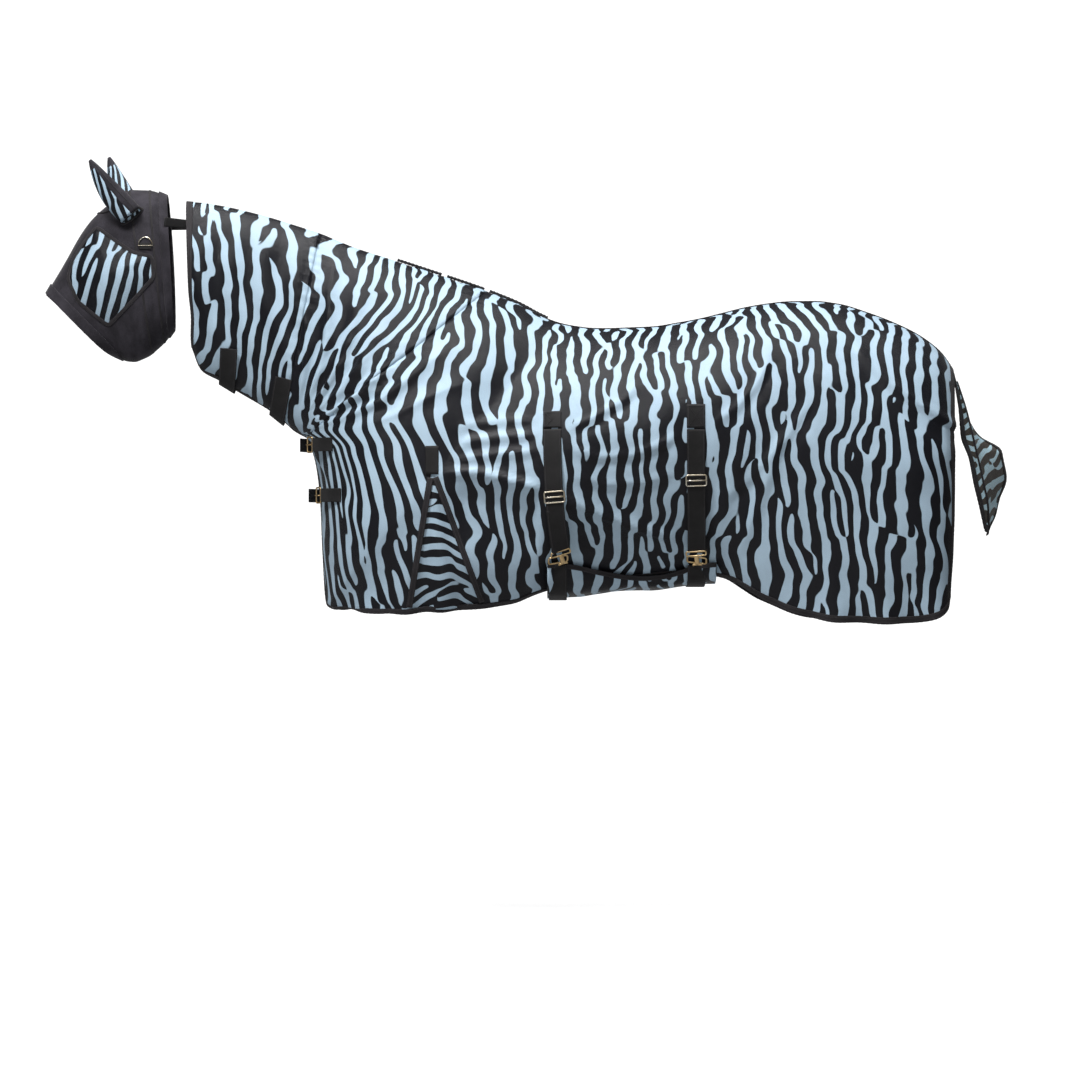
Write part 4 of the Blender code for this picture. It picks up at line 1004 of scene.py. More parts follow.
    def folded(self, u: Array, v: Array, side: Side) -> tuple[Array, Array, Array]:
        """The folded sheet over a grid.

        Args:
            u: The places from the poll to the tail.
            v: The places from the crest to the edge.
            side: The side of the horse.

        Returns:
            Points, outward normals and flat cloth coordinates.
        """
        uu, vv = np.meshgrid(u, v, indexing="ij")
        place = self.skin(uu, vv, side)
        du = self.skin(np.minimum(uu + 0.03, REAR), vv, side) - self.skin(np.maximum(uu - 0.03, 0), vv, side)
        dv = self.skin(uu, np.minimum(vv + 0.008, 1), side) - self.skin(uu, np.maximum(vv - 0.008, 0), side)
        outs = unit(np.cross(du, dv)) * side.value
        points = place + outs * self.relief(uu, vv, place, side)[..., None]
        if side is Side.RIGHT:
            points[..., 1] = np.maximum(points[..., 1], SEAM_GAP)
        else:
            points[..., 1] = np.minimum(points[..., 1], -SEAM_GAP)
        outs = unit(np.cross(np.gradient(points, axis=0), np.gradient(points, axis=1))) * side.value
        lead = self.skin(*np.meshgrid(u, np.linspace(0, 1, 121) * v.min(), indexing="ij"), side)
        down = spans(lead)[:, -1:] + spans(place)
        x, z = place[..., 0], place[..., 2]
        slant = bell(x, -0.50, 0.24) * bell(z, -0.06, 0.30)
        chest = smooth(-x, 0.30, 0.45) * smooth(-z, 0.30, 0.36)
        across = x - 0.75 * slant * (z + 0.02) + 0.45 * chest * (np.abs(place[..., 1]) - 0.30)
        return points, outs, np.stack([across, down], axis=-1)

    def cast(self, x: float, z: float, side: Side, smooth_one: bool = False) -> tuple[Array, Array]:
        """Where the line through x and z first meets a side of the sheet, and the way out of it there.

        Args:
            x: Its place along the horse.
            z: Its height.
            side: The side that it meets.
            smooth_one: Whether it meets the sheet without folds.

        Returns:
            The point and the direction.
        """
        tree = self.smooth_tree if smooth_one else self.trees[side]
        sign = -1 if smooth_one else side.value
        hit, normal, _, _ = tree.ray_cast(Vector((x, 2.0 * sign, z)), Vector((0, -sign, 0)))
        if hit is None:
            hit, normal, _, _ = tree.find_nearest(Vector((x, 0.2 * sign, z)))
        if normal.y * sign < 0:
            normal = -normal
        turn = side.value * sign
        return np.array((hit.x, turn * hit.y, hit.z)), np.array((normal.x, turn * normal.y, normal.z))

    def on_sheet(self, points: Sequence[Point], side: Side, smooth_one: bool = False) -> tuple[Array, Array]:
        """Points and normals on the sheet at x and z places."""
        found = [self.cast(x, z, side, smooth_one) for x, z in points]
        return np.array([p for p, _ in found]), np.array([n for _, n in found])


def steadied(normals: Array, passes: int = 3) -> Array:
    """Directions averaged along a strap."""
    for _ in range(passes):
        padded = np.concatenate([normals[:1], normals, normals[-1:]])
        normals = unit(padded[:-2] + 2 * padded[1:-1] + padded[2:])
    return normals


@dataclass
class BodySheet:
    """Panels, gussets, bindings and crest of the body sheet and the neck cover."""

    shape: WornShape
    wardrobe: Wardrobe
    column_count: int = 11
    row_count: int = 124
    binding_width: float = 0.020
    gusset: tuple[Point, Point, Point] = ((-0.333, -0.412), (-0.398, -0.800), (-0.196, -0.784))

    def build(self) -> None:
        """Every piece of both sides."""
        for side in Side:
            self.build_panels(side)
            self.build_gusset(side)
            self.build_bindings(side)
        self.build_crest()

    def panel(self, name: str, start: float, end: float, side: Side) -> tuple[bpy.types.Object, Array, Array]:
        """One panel between two places along the sheet, with its grid of points and normals."""
        count = int(round((end - start) * self.column_count)) + 1
        v = np.linspace(0, 1, self.row_count + 1)
        points, outs, plane = self.shape.folded(np.linspace(start, end, count), v, side)
        faces = grid_faces(count, len(v))
        if side is Side.LEFT:
            faces = [tuple(reversed(f)) for f in faces]
        return make_mesh(name, points, faces, plane, self.wardrobe.cloth[side]), points, outs

    def build_panels(self, side: Side) -> None:
        """The two neck panels and the body panel of a side."""
        label = side.label
        front, _, _ = self.panel(f"neck_cover_front_{label}", 0, NECK_SEAM, side)
        rear, _, _ = self.panel(f"neck_cover_rear_{label}", NECK_SEAM, BODY_SEAM, side)
        body, _, _ = self.panel(f"body_sheet_{label}", BODY_SEAM, REAR, side)
        self.cut_slot(body, side)
        for piece, node, flat, area in (
                (front, "neck_front_panel", (0.62, 0.66), 0.24),
                (rear, "neck_rear_panel", (0.62, 0.78), 0.23),
                (body, "body_panel", (1.95, 1.05), 1.30)):
            thicken(piece, 0.0012)
            hang(piece, "sheet", Slot.CLOTH, f"{node}_{label}")

    def cut_slot(self, body: bpy.types.Object, side: Side) -> None:
        """Opens the slot that the gusset fills, cleanly along both of its seams."""
        apex, front, back = (np.array(p) for p in self.gusset)
        work = bmesh.new()
        work.from_mesh(body.data)
        for foot in (front, back):
            near = [f for f in work.faces if -0.45 < f.calc_center_median().x < -0.14
                    and f.calc_center_median().z < apex[1] + 0.012]
            parts = [*near, *{e for f in near for e in f.edges}, *{v for f in near for v in f.verts}]
            leg = foot - apex
            bmesh.ops.bisect_plane(work, geom=parts, dist=1e-5, plane_co=(apex[0], 0, apex[1]),
                                   plane_no=(leg[1], 0, -leg[0]))
        gone = []
        for face in work.faces:
            middle = face.calc_center_median()
            if middle.z > apex[1] or not -0.45 < middle.x < -0.14:
                continue
            share = (apex[1] - middle.z)
            left = apex[0] + (front[0] - apex[0]) * share / (apex[1] - front[1])
            right = apex[0] + (back[0] - apex[0]) * share / (apex[1] - back[1])
            if left < middle.x < right:
                gone.append(face)
        bmesh.ops.delete(work, geom=gone, context="FACES")
        work.to_mesh(body.data)
        work.free()

    def build_gusset(self, side: Side) -> None:
        """The gusset behind its slot, its two seam tapes and the patch at the top."""
        label = side.label
        apex, front, back = (np.array(p) for p in self.gusset)
        downs, turns = np.linspace(0.03, 1.018, 60), np.linspace(0, 1, 26)
        points, plane = [], []
        for s in downs:
            left, right = apex + (front - apex) * s, apex + (back - apex) * s
            left, right = left - (0.006, 0), right + (0.006, 0)
            for t in turns:
                x, z = left + (right - left) * t
                spot, out = self.shape.cast(x, z, side)
                bulge = 4 * t * (1 - t) * s
                fold = 0.007 * bulge * math.cos(3 * math.pi * (t - 0.5)) - 0.0022 + 0.002 * bulge
                points.append(spot + out * fold)
                plane.append((z + 0.35 * (x - (left[0] + right[0]) / 2) ** 2 / 0.1, x))
        faces = grid_faces(len(downs), len(turns))
        if side is Side.RIGHT:
            faces = [tuple(reversed(f)) for f in faces]
        piece = thicken(make_mesh(f"gusset_{label}", np.array(points), faces, np.array(plane),
                                  self.wardrobe.gusset), 0.001)
        hang(piece, "sheet", Slot.CLOTH, f"shoulder_gusset_{label}")
        tape = Tape(0.017, 0.0026, self.wardrobe.binding, 0.10)
        for name, foot in (("front", front), ("rear", back)):
            legs = [foot + (apex - foot) * s for s in np.linspace(0.01, 0.93, 60)]
            line, outs = self.shape.on_sheet(legs, side)
            made = tape.sweep(f"gusset_seam_{name}_{label}", line + outs * 0.0022, steadied(outs))
            hang(made, "sheet", Slot.BINDING, f"gusset_tape_{name}_{label}")
        patch = np.linspace(0, 1, 12)
        line, outs = self.shape.on_sheet([(apex[0], -0.352 - 0.078 * s) for s in patch], side)
        made = Tape(0.036, 0.0026, self.wardrobe.webbing).sweep(f"gusset_patch_{label}", line + outs * 0.0030,
                                                                steadied(outs))
        hang(made, "sheet", Slot.BINDING, f"apex_patch_{label}")

    def build_bindings(self, side: Side) -> None:
        """The folded bindings round the neck cover and round the body sheet."""
        shape, label = self.shape, side.label
        tape = Tape(self.binding_width, 0.0044, self.wardrobe.binding, 0.10)
        v = np.linspace(0, 1, self.row_count + 1)
        fine = np.linspace(0, 1, 161)
        end, outs, _ = shape.folded(np.array([0.0, 0.10, 0.2]), v, side)
        down = (end[0], unit(end[2] - end[0]), outs[0])
        grid, outs, _ = shape.folded(np.linspace(0, BODY_SEAM - 0.12, 120), np.array([0.955, 0.98, 1.0]),
                                     side)
        along = (grid[:, 2], unit(grid[:, 0] - grid[:, 2]), outs[:, 1])
        self.bind(f"neck_edge_{label}", tape, (down, along), "neck_binding", label)
        grid, outs, _ = shape.folded(np.linspace(BODY_SEAM + 0.25, REAR, 330), np.array([0.965, 0.985, 1.0]),
                                     side)
        along = (grid[:, 2], unit(grid[:, 0] - grid[:, 2]), outs[:, 1])
        end, outs, _ = shape.folded(np.array([REAR - 0.3, REAR - 0.15, REAR]), fine[::-1][:-6], side)
        up = (end[2], unit(end[0] - end[2]), outs[1])
        self.bind(f"hem_edge_{label}", tape, (along, up), "hem_binding", label)

    def bind(self, name: str, tape: Tape, runs: Sequence[tuple[Array, Array, Array]], node: str,
             label: str) -> None:
        """One binding over edges that follow each other.

        Args:
            name: The piece's name.
            tape: The band that is swept.
            runs: The points of each edge, its directions into the cloth and its outward directions.
            node: The CAD node that it stands for, without its side.
            label: The side's name.
        """
        line = np.concatenate([run[0] + run[1] * (tape.width / 2 - 0.0012) for run in runs])
        into = np.concatenate([run[1] for run in runs])
        outs = np.concatenate([run[2] for run in runs])
        run = lengths(line)
        at = np.linspace(0, run[-1], len(evenly(line, 0.006)))
        line, outs, into = (read_at(values, at, run) for values in (line, outs, into))
        made = tape.sweep(name, line, steadied(unit(outs), 2), sideways=steadied(unit(into), 4))
        hang(made, "sheet", Slot.BINDING, f"{node}_{label}")

    def build_crest(self) -> None:
        """The spine tape and the puckered elastics along the crest."""
        line = self.crest_line(BODY_SEAM + 0.05, REAR - 0.15, 260)
        tape = Tape(0.022, 0.0026, self.wardrobe.binding, 0.12)
        made = tape.sweep("crest_tape", line + (0, 0, 0.0022), self.upright(line))
        hang(made, "sheet", Slot.BINDING, "spine_tape")
        elastic = Tape(0.017, 0.0075, self.wardrobe.elastic, 0.20, 0.011)
        for name, start, end, nodes in (("crest_ruffle_front", 6.86, 7.42, ("crest_elastic_front",)),
                                        ("crest_ruffle_middle", 7.48, 7.95, ("crest_elastic_rear",)),
                                        ("crest_ruffle_rear", 8.06, 10.6, ())):
            line = self.crest_line(start, end, 60)
            made = elastic.sweep(name, line + (0, 0, 0.0052), self.upright(line))
            hang(made, "sheet", Slot.WEBBING, *nodes)

    def crest_line(self, start: float, end: float, count: int) -> Array:
        """Points along the crest in the middle plane."""
        line = self.shape.skin(np.linspace(start, end, count), np.zeros(count), Side.LEFT)
        return evenly(line * (1, 0, 1), 0.003)

    @staticmethod
    def upright(line: Array) -> Array:
        """Upward normals of a line in the middle plane."""
        along = unit(np.gradient(line, axis=0))
        return np.stack([-along[:, 2], np.zeros(len(line)), along[:, 0]], axis=1)


# ---------------------------------------------------------------- straps and metal


@dataclass
class Surcingle:
    """One surcingle strap of the near side with its slider and T hook."""

    shape: WornShape
    wardrobe: Wardrobe
    label: str
    x: float
    top: float
    box: float
    slider: float
    end: float
    lean: float
    standoff: float = 0.024

    def build(self) -> None:
        """The sewn box, the strap, its doubled end, the slider and the hook."""
        tape = Tape(WEBBING_WIDTH, 0.0024, self.wardrobe.webbing)
        drop = np.linspace(self.top, self.top - self.box, 10)
        line, outs = self.shape.on_sheet([(self.x, z) for z in drop], Side.LEFT)
        sewn = tape.sweep(f"strap_seat_{self.label}", line + outs * 0.0030, steadied(outs))
        cross = self.cross_stitch(line, outs)
        hang(sewn, "sheet", Slot.WEBBING, f"strap_box_{self.label}")
        hang(cross, "sheet", Slot.WEBBING)
        middle, outs = self.middle()
        strap = tape.sweep(f"surcingle_{self.label}", middle, outs)
        hang(strap, body_of(f"surcingle_strap_{self.label}"), Slot.WEBBING, f"surcingle_strap_{self.label}")
        self.build_fold(middle, outs)
        self.build_slider()
        self.build_hook()

    def middle(self) -> tuple[Array, Array]:
        """The strap's middle line and its outward directions."""
        drop = np.linspace(self.top - self.box - 0.0036, self.end, 60)
        share = (drop - drop[0]) / (drop[-1] - drop[0])
        line, outs = self.shape.on_sheet([(self.x + self.lean * s * s, z) for s, z in zip(share, drop)],
                                         Side.LEFT, True)
        outs = steadied(outs, 12)
        lifts = 0.0034 + self.standoff * share ** 2
        return line + outs * lifts[:, None], outs

    def cross_stitch(self, line: Array, outs: Array) -> bpy.types.Object:
        """The sewn box and cross that hold the strap's end."""
        corners = np.array(((-0.8, 0.08), (0.8, 0.08), (0.8, 0.92), (-0.8, 0.92), (-0.8, 0.08), (0.8, 0.92),
                            (0.8, 0.08), (-0.8, 0.92)))
        path = evenly(np.concatenate([corners, np.zeros((len(corners), 1))], axis=1), 0.12)
        rows = np.arange(len(line))
        at = path[:, 1] * (len(line) - 1)
        spots, out = read_at(line, at, rows), read_at(outs, at, rows)
        spots = spots + out * 0.0046 + np.array((1, 0, 0)) * path[:, :1] * WEBBING_WIDTH / 2
        return tube(f"strap_stitch_{self.label}", spots, 0.0005, self.wardrobe.elastic, outs=out)

    def build_fold(self, middle: Array, outs: Array) -> None:
        """The strap's end, brought through the hook and back up behind to the slider."""
        low = int(np.argmin(np.abs(middle[:, 2] - (self.slider - 0.030))))
        back = middle[low:] - outs[low:] * 0.0034
        tip = middle[-1:] + (middle[-1:] - middle[-2:-1]) * 0.30 - outs[-1:] * 0.0017
        path = evenly(np.concatenate([back, tip]), 0.006)
        made = Tape(WEBBING_WIDTH, 0.0022, self.wardrobe.webbing).sweep(
            f"surcingle_fold_{self.label}", path, steadied(np.resize(outs[-1], path.shape)))
        hang(made, body_of(f"surcingle_strap_{self.label}"), Slot.WEBBING)

    def build_slider(self) -> None:
        """A flat three-bar slider with rounded rods."""
        place = PlateFrame.of(f"slider_{self.label}")
        width, height = place.size[0] - 0.004, place.size[1] - 0.004
        x, y = rounded_ring(width, height, 0.005)
        ring = tube("ring", place.at(x, y), 0.0021, self.wardrobe.nickel, True, 0.8,
                    np.resize(place.out, (len(x), 3)))
        bar = place.at(np.linspace(-width / 2, width / 2, 5), 0.0, 0.0006)
        cross = tube("bar", bar, 0.0021, self.wardrobe.nickel, False, 0.8, np.resize(place.out, (5, 3)))
        made = joined(f"slider_frame_{self.label}", [ring, cross])
        hang(made, body_of(f"slider_{self.label}"), Slot.METAL, f"slider_{self.label}")

    def build_hook(self) -> None:
        """A T hook: a bar for the webbing, a flat stem and a cross head that turns in behind its plate."""
        place = PlateFrame.of(f"strap_hook_{self.label}")
        width, height = place.size[0], place.size[1]
        top, low = height / 2 - 0.004, -height / 2 + 0.004
        x, y = rounded_ring(width - 0.004, 0.013, 0.004)
        ring = tube("ring", place.at(x, y + top - 0.003), 0.0022, self.wardrobe.brass, True, 0.85,
                    np.resize(place.out, (len(x), 3)))
        drop = np.linspace(top - 0.008, low, 12)
        bow = 0.0022 * np.sin(np.linspace(0, math.pi, 12))
        stem = tube("stem", place.at(0, drop, bow), 0.0062, self.wardrobe.brass, False, 0.32,
                    np.resize(place.out, (12, 3)))
        across = np.linspace(-0.0135, 0.0135, 9)
        head = tube("head", place.at(across, low + 0.0008 * np.cos(across * 200)), 0.0034,
                    self.wardrobe.brass, False, 0.6, np.resize(place.out, (9, 3)))
        made = joined(f"t_hook_{self.label}", [ring, stem, head])
        hang(made, body_of(f"strap_hook_{self.label}"), Slot.METAL, f"strap_hook_{self.label}")


@dataclass
class BellyFlap:
    """The flap under the belly, sewn on the off side, with its binding, webbing and eye plates."""

    shape: WornShape
    wardrobe: Wardrobe
    straps: Sequence[tuple[str, float]] = (("front", 0.013), ("rear", 0.397))
    edge: Sequence[Point] = ((-0.020, -0.668), (0.050, -0.672), (0.120, -0.686), (0.200, -0.699),
                             (0.246, -0.702), (0.300, -0.698), (0.353, -0.686), (0.400, -0.670),
                             (0.455, -0.666))
    bottom: Sequence[float] = (-0.774, -0.770, -0.760, -0.752, -0.750, -0.747, -0.741, -0.735, -0.732)
    seam_z: float = -0.640

    def section(self, at: float, shares: Array) -> Array:
        """A line across the flap, from its near edge to its seam.

        Args:
            at: Where along the flap, counted in edge points.
            shares: The places across it, from 0 to 1.

        Returns:
            The points.
        """
        x, z = eased(np.array(self.edge), at)
        low = eased(np.array(self.bottom)[:, None], at)[0]
        near, out = self.shape.cast(x, z, Side.LEFT, True)
        near = near + out * 0.011
        far, out = self.shape.cast(x, self.seam_z, Side.RIGHT, True)
        far = far + out * 0.0034
        low_middle = np.array((near[0], 0, low))
        rows = [near]
        for wide, fall in ((0.96, 0.45), (0.76, 0.85)):
            rows.append(np.array((near[0], near[1] * wide, near[2] + (low - near[2]) * fall)))
        rows += [np.array((near[0], near[1] * 0.38, low + 0.002)), low_middle,
                 np.array((near[0], far[1] * 0.38, low + 0.002))]
        for wide, fall in ((0.76, 0.85), (0.96, 0.45)):
            rows.append(np.array((near[0], far[1] * wide, far[2] + (low - far[2]) * fall)))
        rows.append(far)
        return eased(np.array(rows), shares * 8)

    def build(self) -> None:
        """The flap and all that is sewn on it."""
        shares, places = np.linspace(0, 1, 70), np.linspace(0, 8, 66)
        grid = np.array([self.section(at, shares) for at in places])
        outs = unit(np.cross(np.gradient(grid, axis=0), np.gradient(grid, axis=1)))
        outs = outs * np.sign((outs * (grid - (0, 0, -0.55))).sum(axis=-1, keepdims=True).mean())
        rows = np.abs(grid[:, :1, 0] - np.array([x for _, x in self.straps])[None]).min(axis=1)
        free = smooth(rows, 0.03, 0.07)[:, None] * smooth(shares, 0.02, 0.2) * smooth(-shares, -0.98, -0.8)
        wave = WornShape.crumple(grid[..., 0], grid[..., 1], 1.3, 0.30, 0.09)
        grid = grid + outs * (0.004 * wave * free)[..., None]
        plane = np.stack([grid[..., 0], spans(grid) + 0.9], axis=-1)
        piece = thicken(make_mesh("belly_flap_cloth", grid, grid_faces(*grid.shape[:2]), plane,
                                  self.wardrobe.cloth[Side.LEFT]), 0.0011)
        hang(piece, "flap", Slot.CLOTH, "belly_flap")
        line = grid[:, 0] + unit(grid[:, 1] - grid[:, 0]) * 0.006
        made = Tape(0.014, 0.0034, self.wardrobe.binding, 0.10).sweep(
            "belly_flap_edge", line, outs[:, 1], sideways=grid[:, 3] - grid[:, 0])
        hang(made, "flap", Slot.BINDING, "belly_flap_binding")
        for label, x in self.straps:
            self.build_webbing(label, x)

    def build_webbing(self, label: str, x: float) -> None:
        """The webbing under one strap, and the plate that takes its hook."""
        table = np.array([p[0] for p in self.edge])
        at = float(np.interp(x, table, np.arange(len(table))))
        shares = np.linspace(0, 1, 60)
        line = self.section(at, shares)
        line[:, 0] = x
        along = unit(np.gradient(line, axis=0))
        outs = np.stack([np.zeros(len(line)), along[:, 2], -along[:, 1]], axis=1)
        made = Tape(WEBBING_WIDTH, 0.0024, self.wardrobe.webbing).sweep(
            f"girth_webbing_{label}", line + outs * 0.0058, outs)
        hang(made, "flap", Slot.WEBBING, f"belly_webbing_{label}")
        place = PlateFrame.of(f"eye_plate_{label}")
        x, y = rounded_ring(place.size[0] - 0.005, place.size[1] - 0.005, 0.006)
        made = tube(f"eye_frame_{label}", place.at(x, y), 0.0026, self.wardrobe.brass, True, 0.7,
                    np.resize(place.out, (len(x), 3)))
        hang(made, "flap", Slot.METAL, f"eye_plate_{label}")


@dataclass
class ChestFastening:
    """One chest strap: a billet from the off side, and a tab with its buckle on the near side."""

    shape: WornShape
    wardrobe: Wardrobe
    label: str
    z: float
    front: float
    width: float = 0.038

    def build(self) -> None:
        """The billet, the tab, the buckle and its tongue."""
        heart = np.array((self.front + 0.20, 0, self.z))
        ends = []
        for side in (Side.RIGHT, Side.LEFT):
            spot, out = self.shape.cast(self.front + 0.075, self.z, side, True)
            ends.append(spot + out * 0.0034)
        nose = np.array((self.front - 0.024, 0, self.z))
        billet = [ends[0], ends[0] * 0.45 + nose * 0.55 + (-0.018, 0.018, 0), nose + (0.004, 0.016, 0),
                  nose + (0.001, -0.004, 0)]
        hold = ends[1] * 0.55 + nose * 0.45 + (-0.014, -0.012, 0)
        tab = [ends[1], (ends[1] + hold) / 2 + (-0.003, -0.003, 0), hold]
        for name, points, node in (("billet", billet, "chest_billet"), ("tab", tab, "chest_tab")):
            line = evenly(through(points, 40), 0.004)
            made = Tape(self.width, 0.0026, self.wardrobe.webbing).sweep(
                f"chest_{name}_web_{self.label}", line, line - heart, sideways=np.resize((0, 0, 1.0), line.shape))
            hang(made, "sheet", Slot.WEBBING, f"{node}_{self.label}")
        place = PlateFrame.of(f"chest_buckle_{self.label}")
        x, y = rounded_ring(place.size[0] - 0.004, place.size[1] - 0.004, 0.005)
        ring = tube(f"chest_ring_{self.label}", place.at(x, y), 0.0024, self.wardrobe.brass, True, 0.85,
                    np.resize(place.out, (len(x), 3)))
        hang(ring, "sheet", Slot.METAL, f"chest_buckle_{self.label}")
        place = PlateFrame.of(f"chest_tongue_{self.label}")
        reach = place.size[0] / 2
        run = np.linspace(-reach, reach, 9)
        made = tube(f"chest_pin_{self.label}", place.at(run, 0 * run, 0), 0.0018, self.wardrobe.brass)
        hang(made, body_of(f"chest_tongue_{self.label}"), Slot.METAL, f"chest_tongue_{self.label}")


@dataclass
class ThroatStrap:
    """A touch-fastening strap round the underside of the neck cover."""

    shape: WornShape
    wardrobe: Wardrobe
    label: str
    u: float
    top: float = 0.70
    sag: float = 0.008

    def build(self) -> None:
        """The strap on its own body."""
        near, far = np.linspace(self.top, 0.98, 40), np.linspace(0.98, 0.86, 20)
        parts = []
        for side, vs in ((Side.LEFT, near), (Side.RIGHT, far)):
            vs = np.minimum(vs, 1.0)
            u = np.full(len(vs), self.u)
            line = self.shape.skin(u, vs, side)
            ahead = self.shape.skin(u + 0.02, vs, side) - self.shape.skin(u - 0.02, vs, side)
            clipped = np.minimum(vs, 0.97)
            down = self.shape.skin(u, clipped + 0.02, side) - self.shape.skin(u, clipped - 0.02, side)
            outs = unit(np.cross(ahead, down)) * side.value
            lift = 0.0052 + self.sag * np.clip((vs - self.top) / (1 - self.top), 0, 1)
            if side is Side.RIGHT:
                knots = (0, len(vs) - 6, len(vs) - 1)
                lift = np.interp(np.arange(len(vs)), knots, (lift[0], 0.0068, 0.0034))
            parts.append(np.concatenate([line + outs * lift[:, None], outs], axis=1))
        table = np.concatenate(parts)
        table = table[np.unique(np.linspace(0, len(table) - 1, 24).astype(int))]
        table = through(table, 80)
        made = Tape(0.050, 0.0026, self.wardrobe.webbing).sweep(f"throat_band_{self.label}", table[:, :3],
                                                             steadied(unit(table[:, 3:]), 4))
        hang(made, body_of(f"throat_strap_{self.label}"), Slot.WEBBING, f"throat_strap_{self.label}")


@dataclass
class TailFlap:
    """The flared flap over the tail."""

    wardrobe: Wardrobe
    inner: Sequence[Point] = ((1.1167, -0.030, -0.1358), (1.130, -0.090, -0.250), (1.134, -0.112, -0.320),
                              (1.156, -0.118, -0.384), (1.170, -0.118, -0.456), (1.184, -0.112, -0.512),
                              (1.201, -0.100, -0.585))
    ridge: Sequence[Point] = ((1.1170, 0.000, -0.1312), (1.152, -0.050, -0.250), (1.166, -0.070, -0.312),
                              (1.184, -0.080, -0.392), (1.198, -0.082, -0.456), (1.210, -0.078, -0.518),
                              (1.213, -0.070, -0.590))
    free: Sequence[Point] = ((1.1167, 0.034, -0.1358), (1.150, 0.060, -0.240), (1.200, 0.075, -0.318),
                             (1.262, 0.085, -0.362), (1.274, 0.088, -0.431), (1.252, 0.070, -0.510),
                             (1.216, 0.010, -0.598))

    def build(self) -> None:
        """The near strip, the flared far part, their seam and the binding round them."""
        count = 64
        inner, ridge, free = (through(line, count) for line in (self.inner, self.ridge, self.free))
        near = np.array([inner + (ridge - inner) * s for s in np.linspace(0, 1, 12)]).transpose(1, 0, 2)
        far = np.array([ridge + (free - ridge) * s for s in np.linspace(0, 1, 34)]).transpose(1, 0, 2)
        fold = WornShape.crumple(far[..., 2], far[..., 1], 2.2, 0.16, 0.07) * np.linspace(0, 1, 34) * 0.004
        outs = unit(np.cross(np.gradient(far, axis=0), np.gradient(far, axis=1)))
        far = far + outs * fold[..., None]
        cloth = np.concatenate([near, far[:, 1:]], axis=1)
        spread = spans(cloth)
        plane = np.stack([lengths(ridge)[:, None] + 0.25 * spread, spread], axis=-1)
        piece = thicken(make_mesh("tail_flap_cloth", cloth, grid_faces(*cloth.shape[:2]), plane,
                                  self.wardrobe.sheer), 0.001)
        hang(piece, "tail", Slot.CLOTH, "tail_flap")
        tape = Tape(0.022, 0.0040, self.wardrobe.binding, 0.10)
        edge = np.concatenate([cloth[1:, 0], cloth[-1, 1:-1], cloth[::-1][:-1, -1]])
        into = np.concatenate([cloth[1:, 2] - cloth[1:, 0], cloth[-4, 1:-1] - cloth[-1, 1:-1],
                               cloth[::-1][:-1, -3] - cloth[::-1][:-1, -1]])
        into = steadied(unit(into), 3)
        face = steadied(unit(np.cross(unit(np.gradient(edge, axis=0)), into)), 3)
        made = tape.sweep("tail_flap_edge", edge + into * 0.0095, face, sideways=into)
        hang(made, "tail", Slot.BINDING, "tail_flap_binding")
        seam = Tape(0.007, 0.0028, self.wardrobe.binding, 0.08).sweep(
            "tail_flap_seam", ridge[3:-1] + (0.0006, -0.0010, 0), np.resize((0.35, -1.0, 0), (count - 4, 3)))
        hang(seam, "tail", Slot.BINDING)


# ---------------------------------------------------------------- the mask


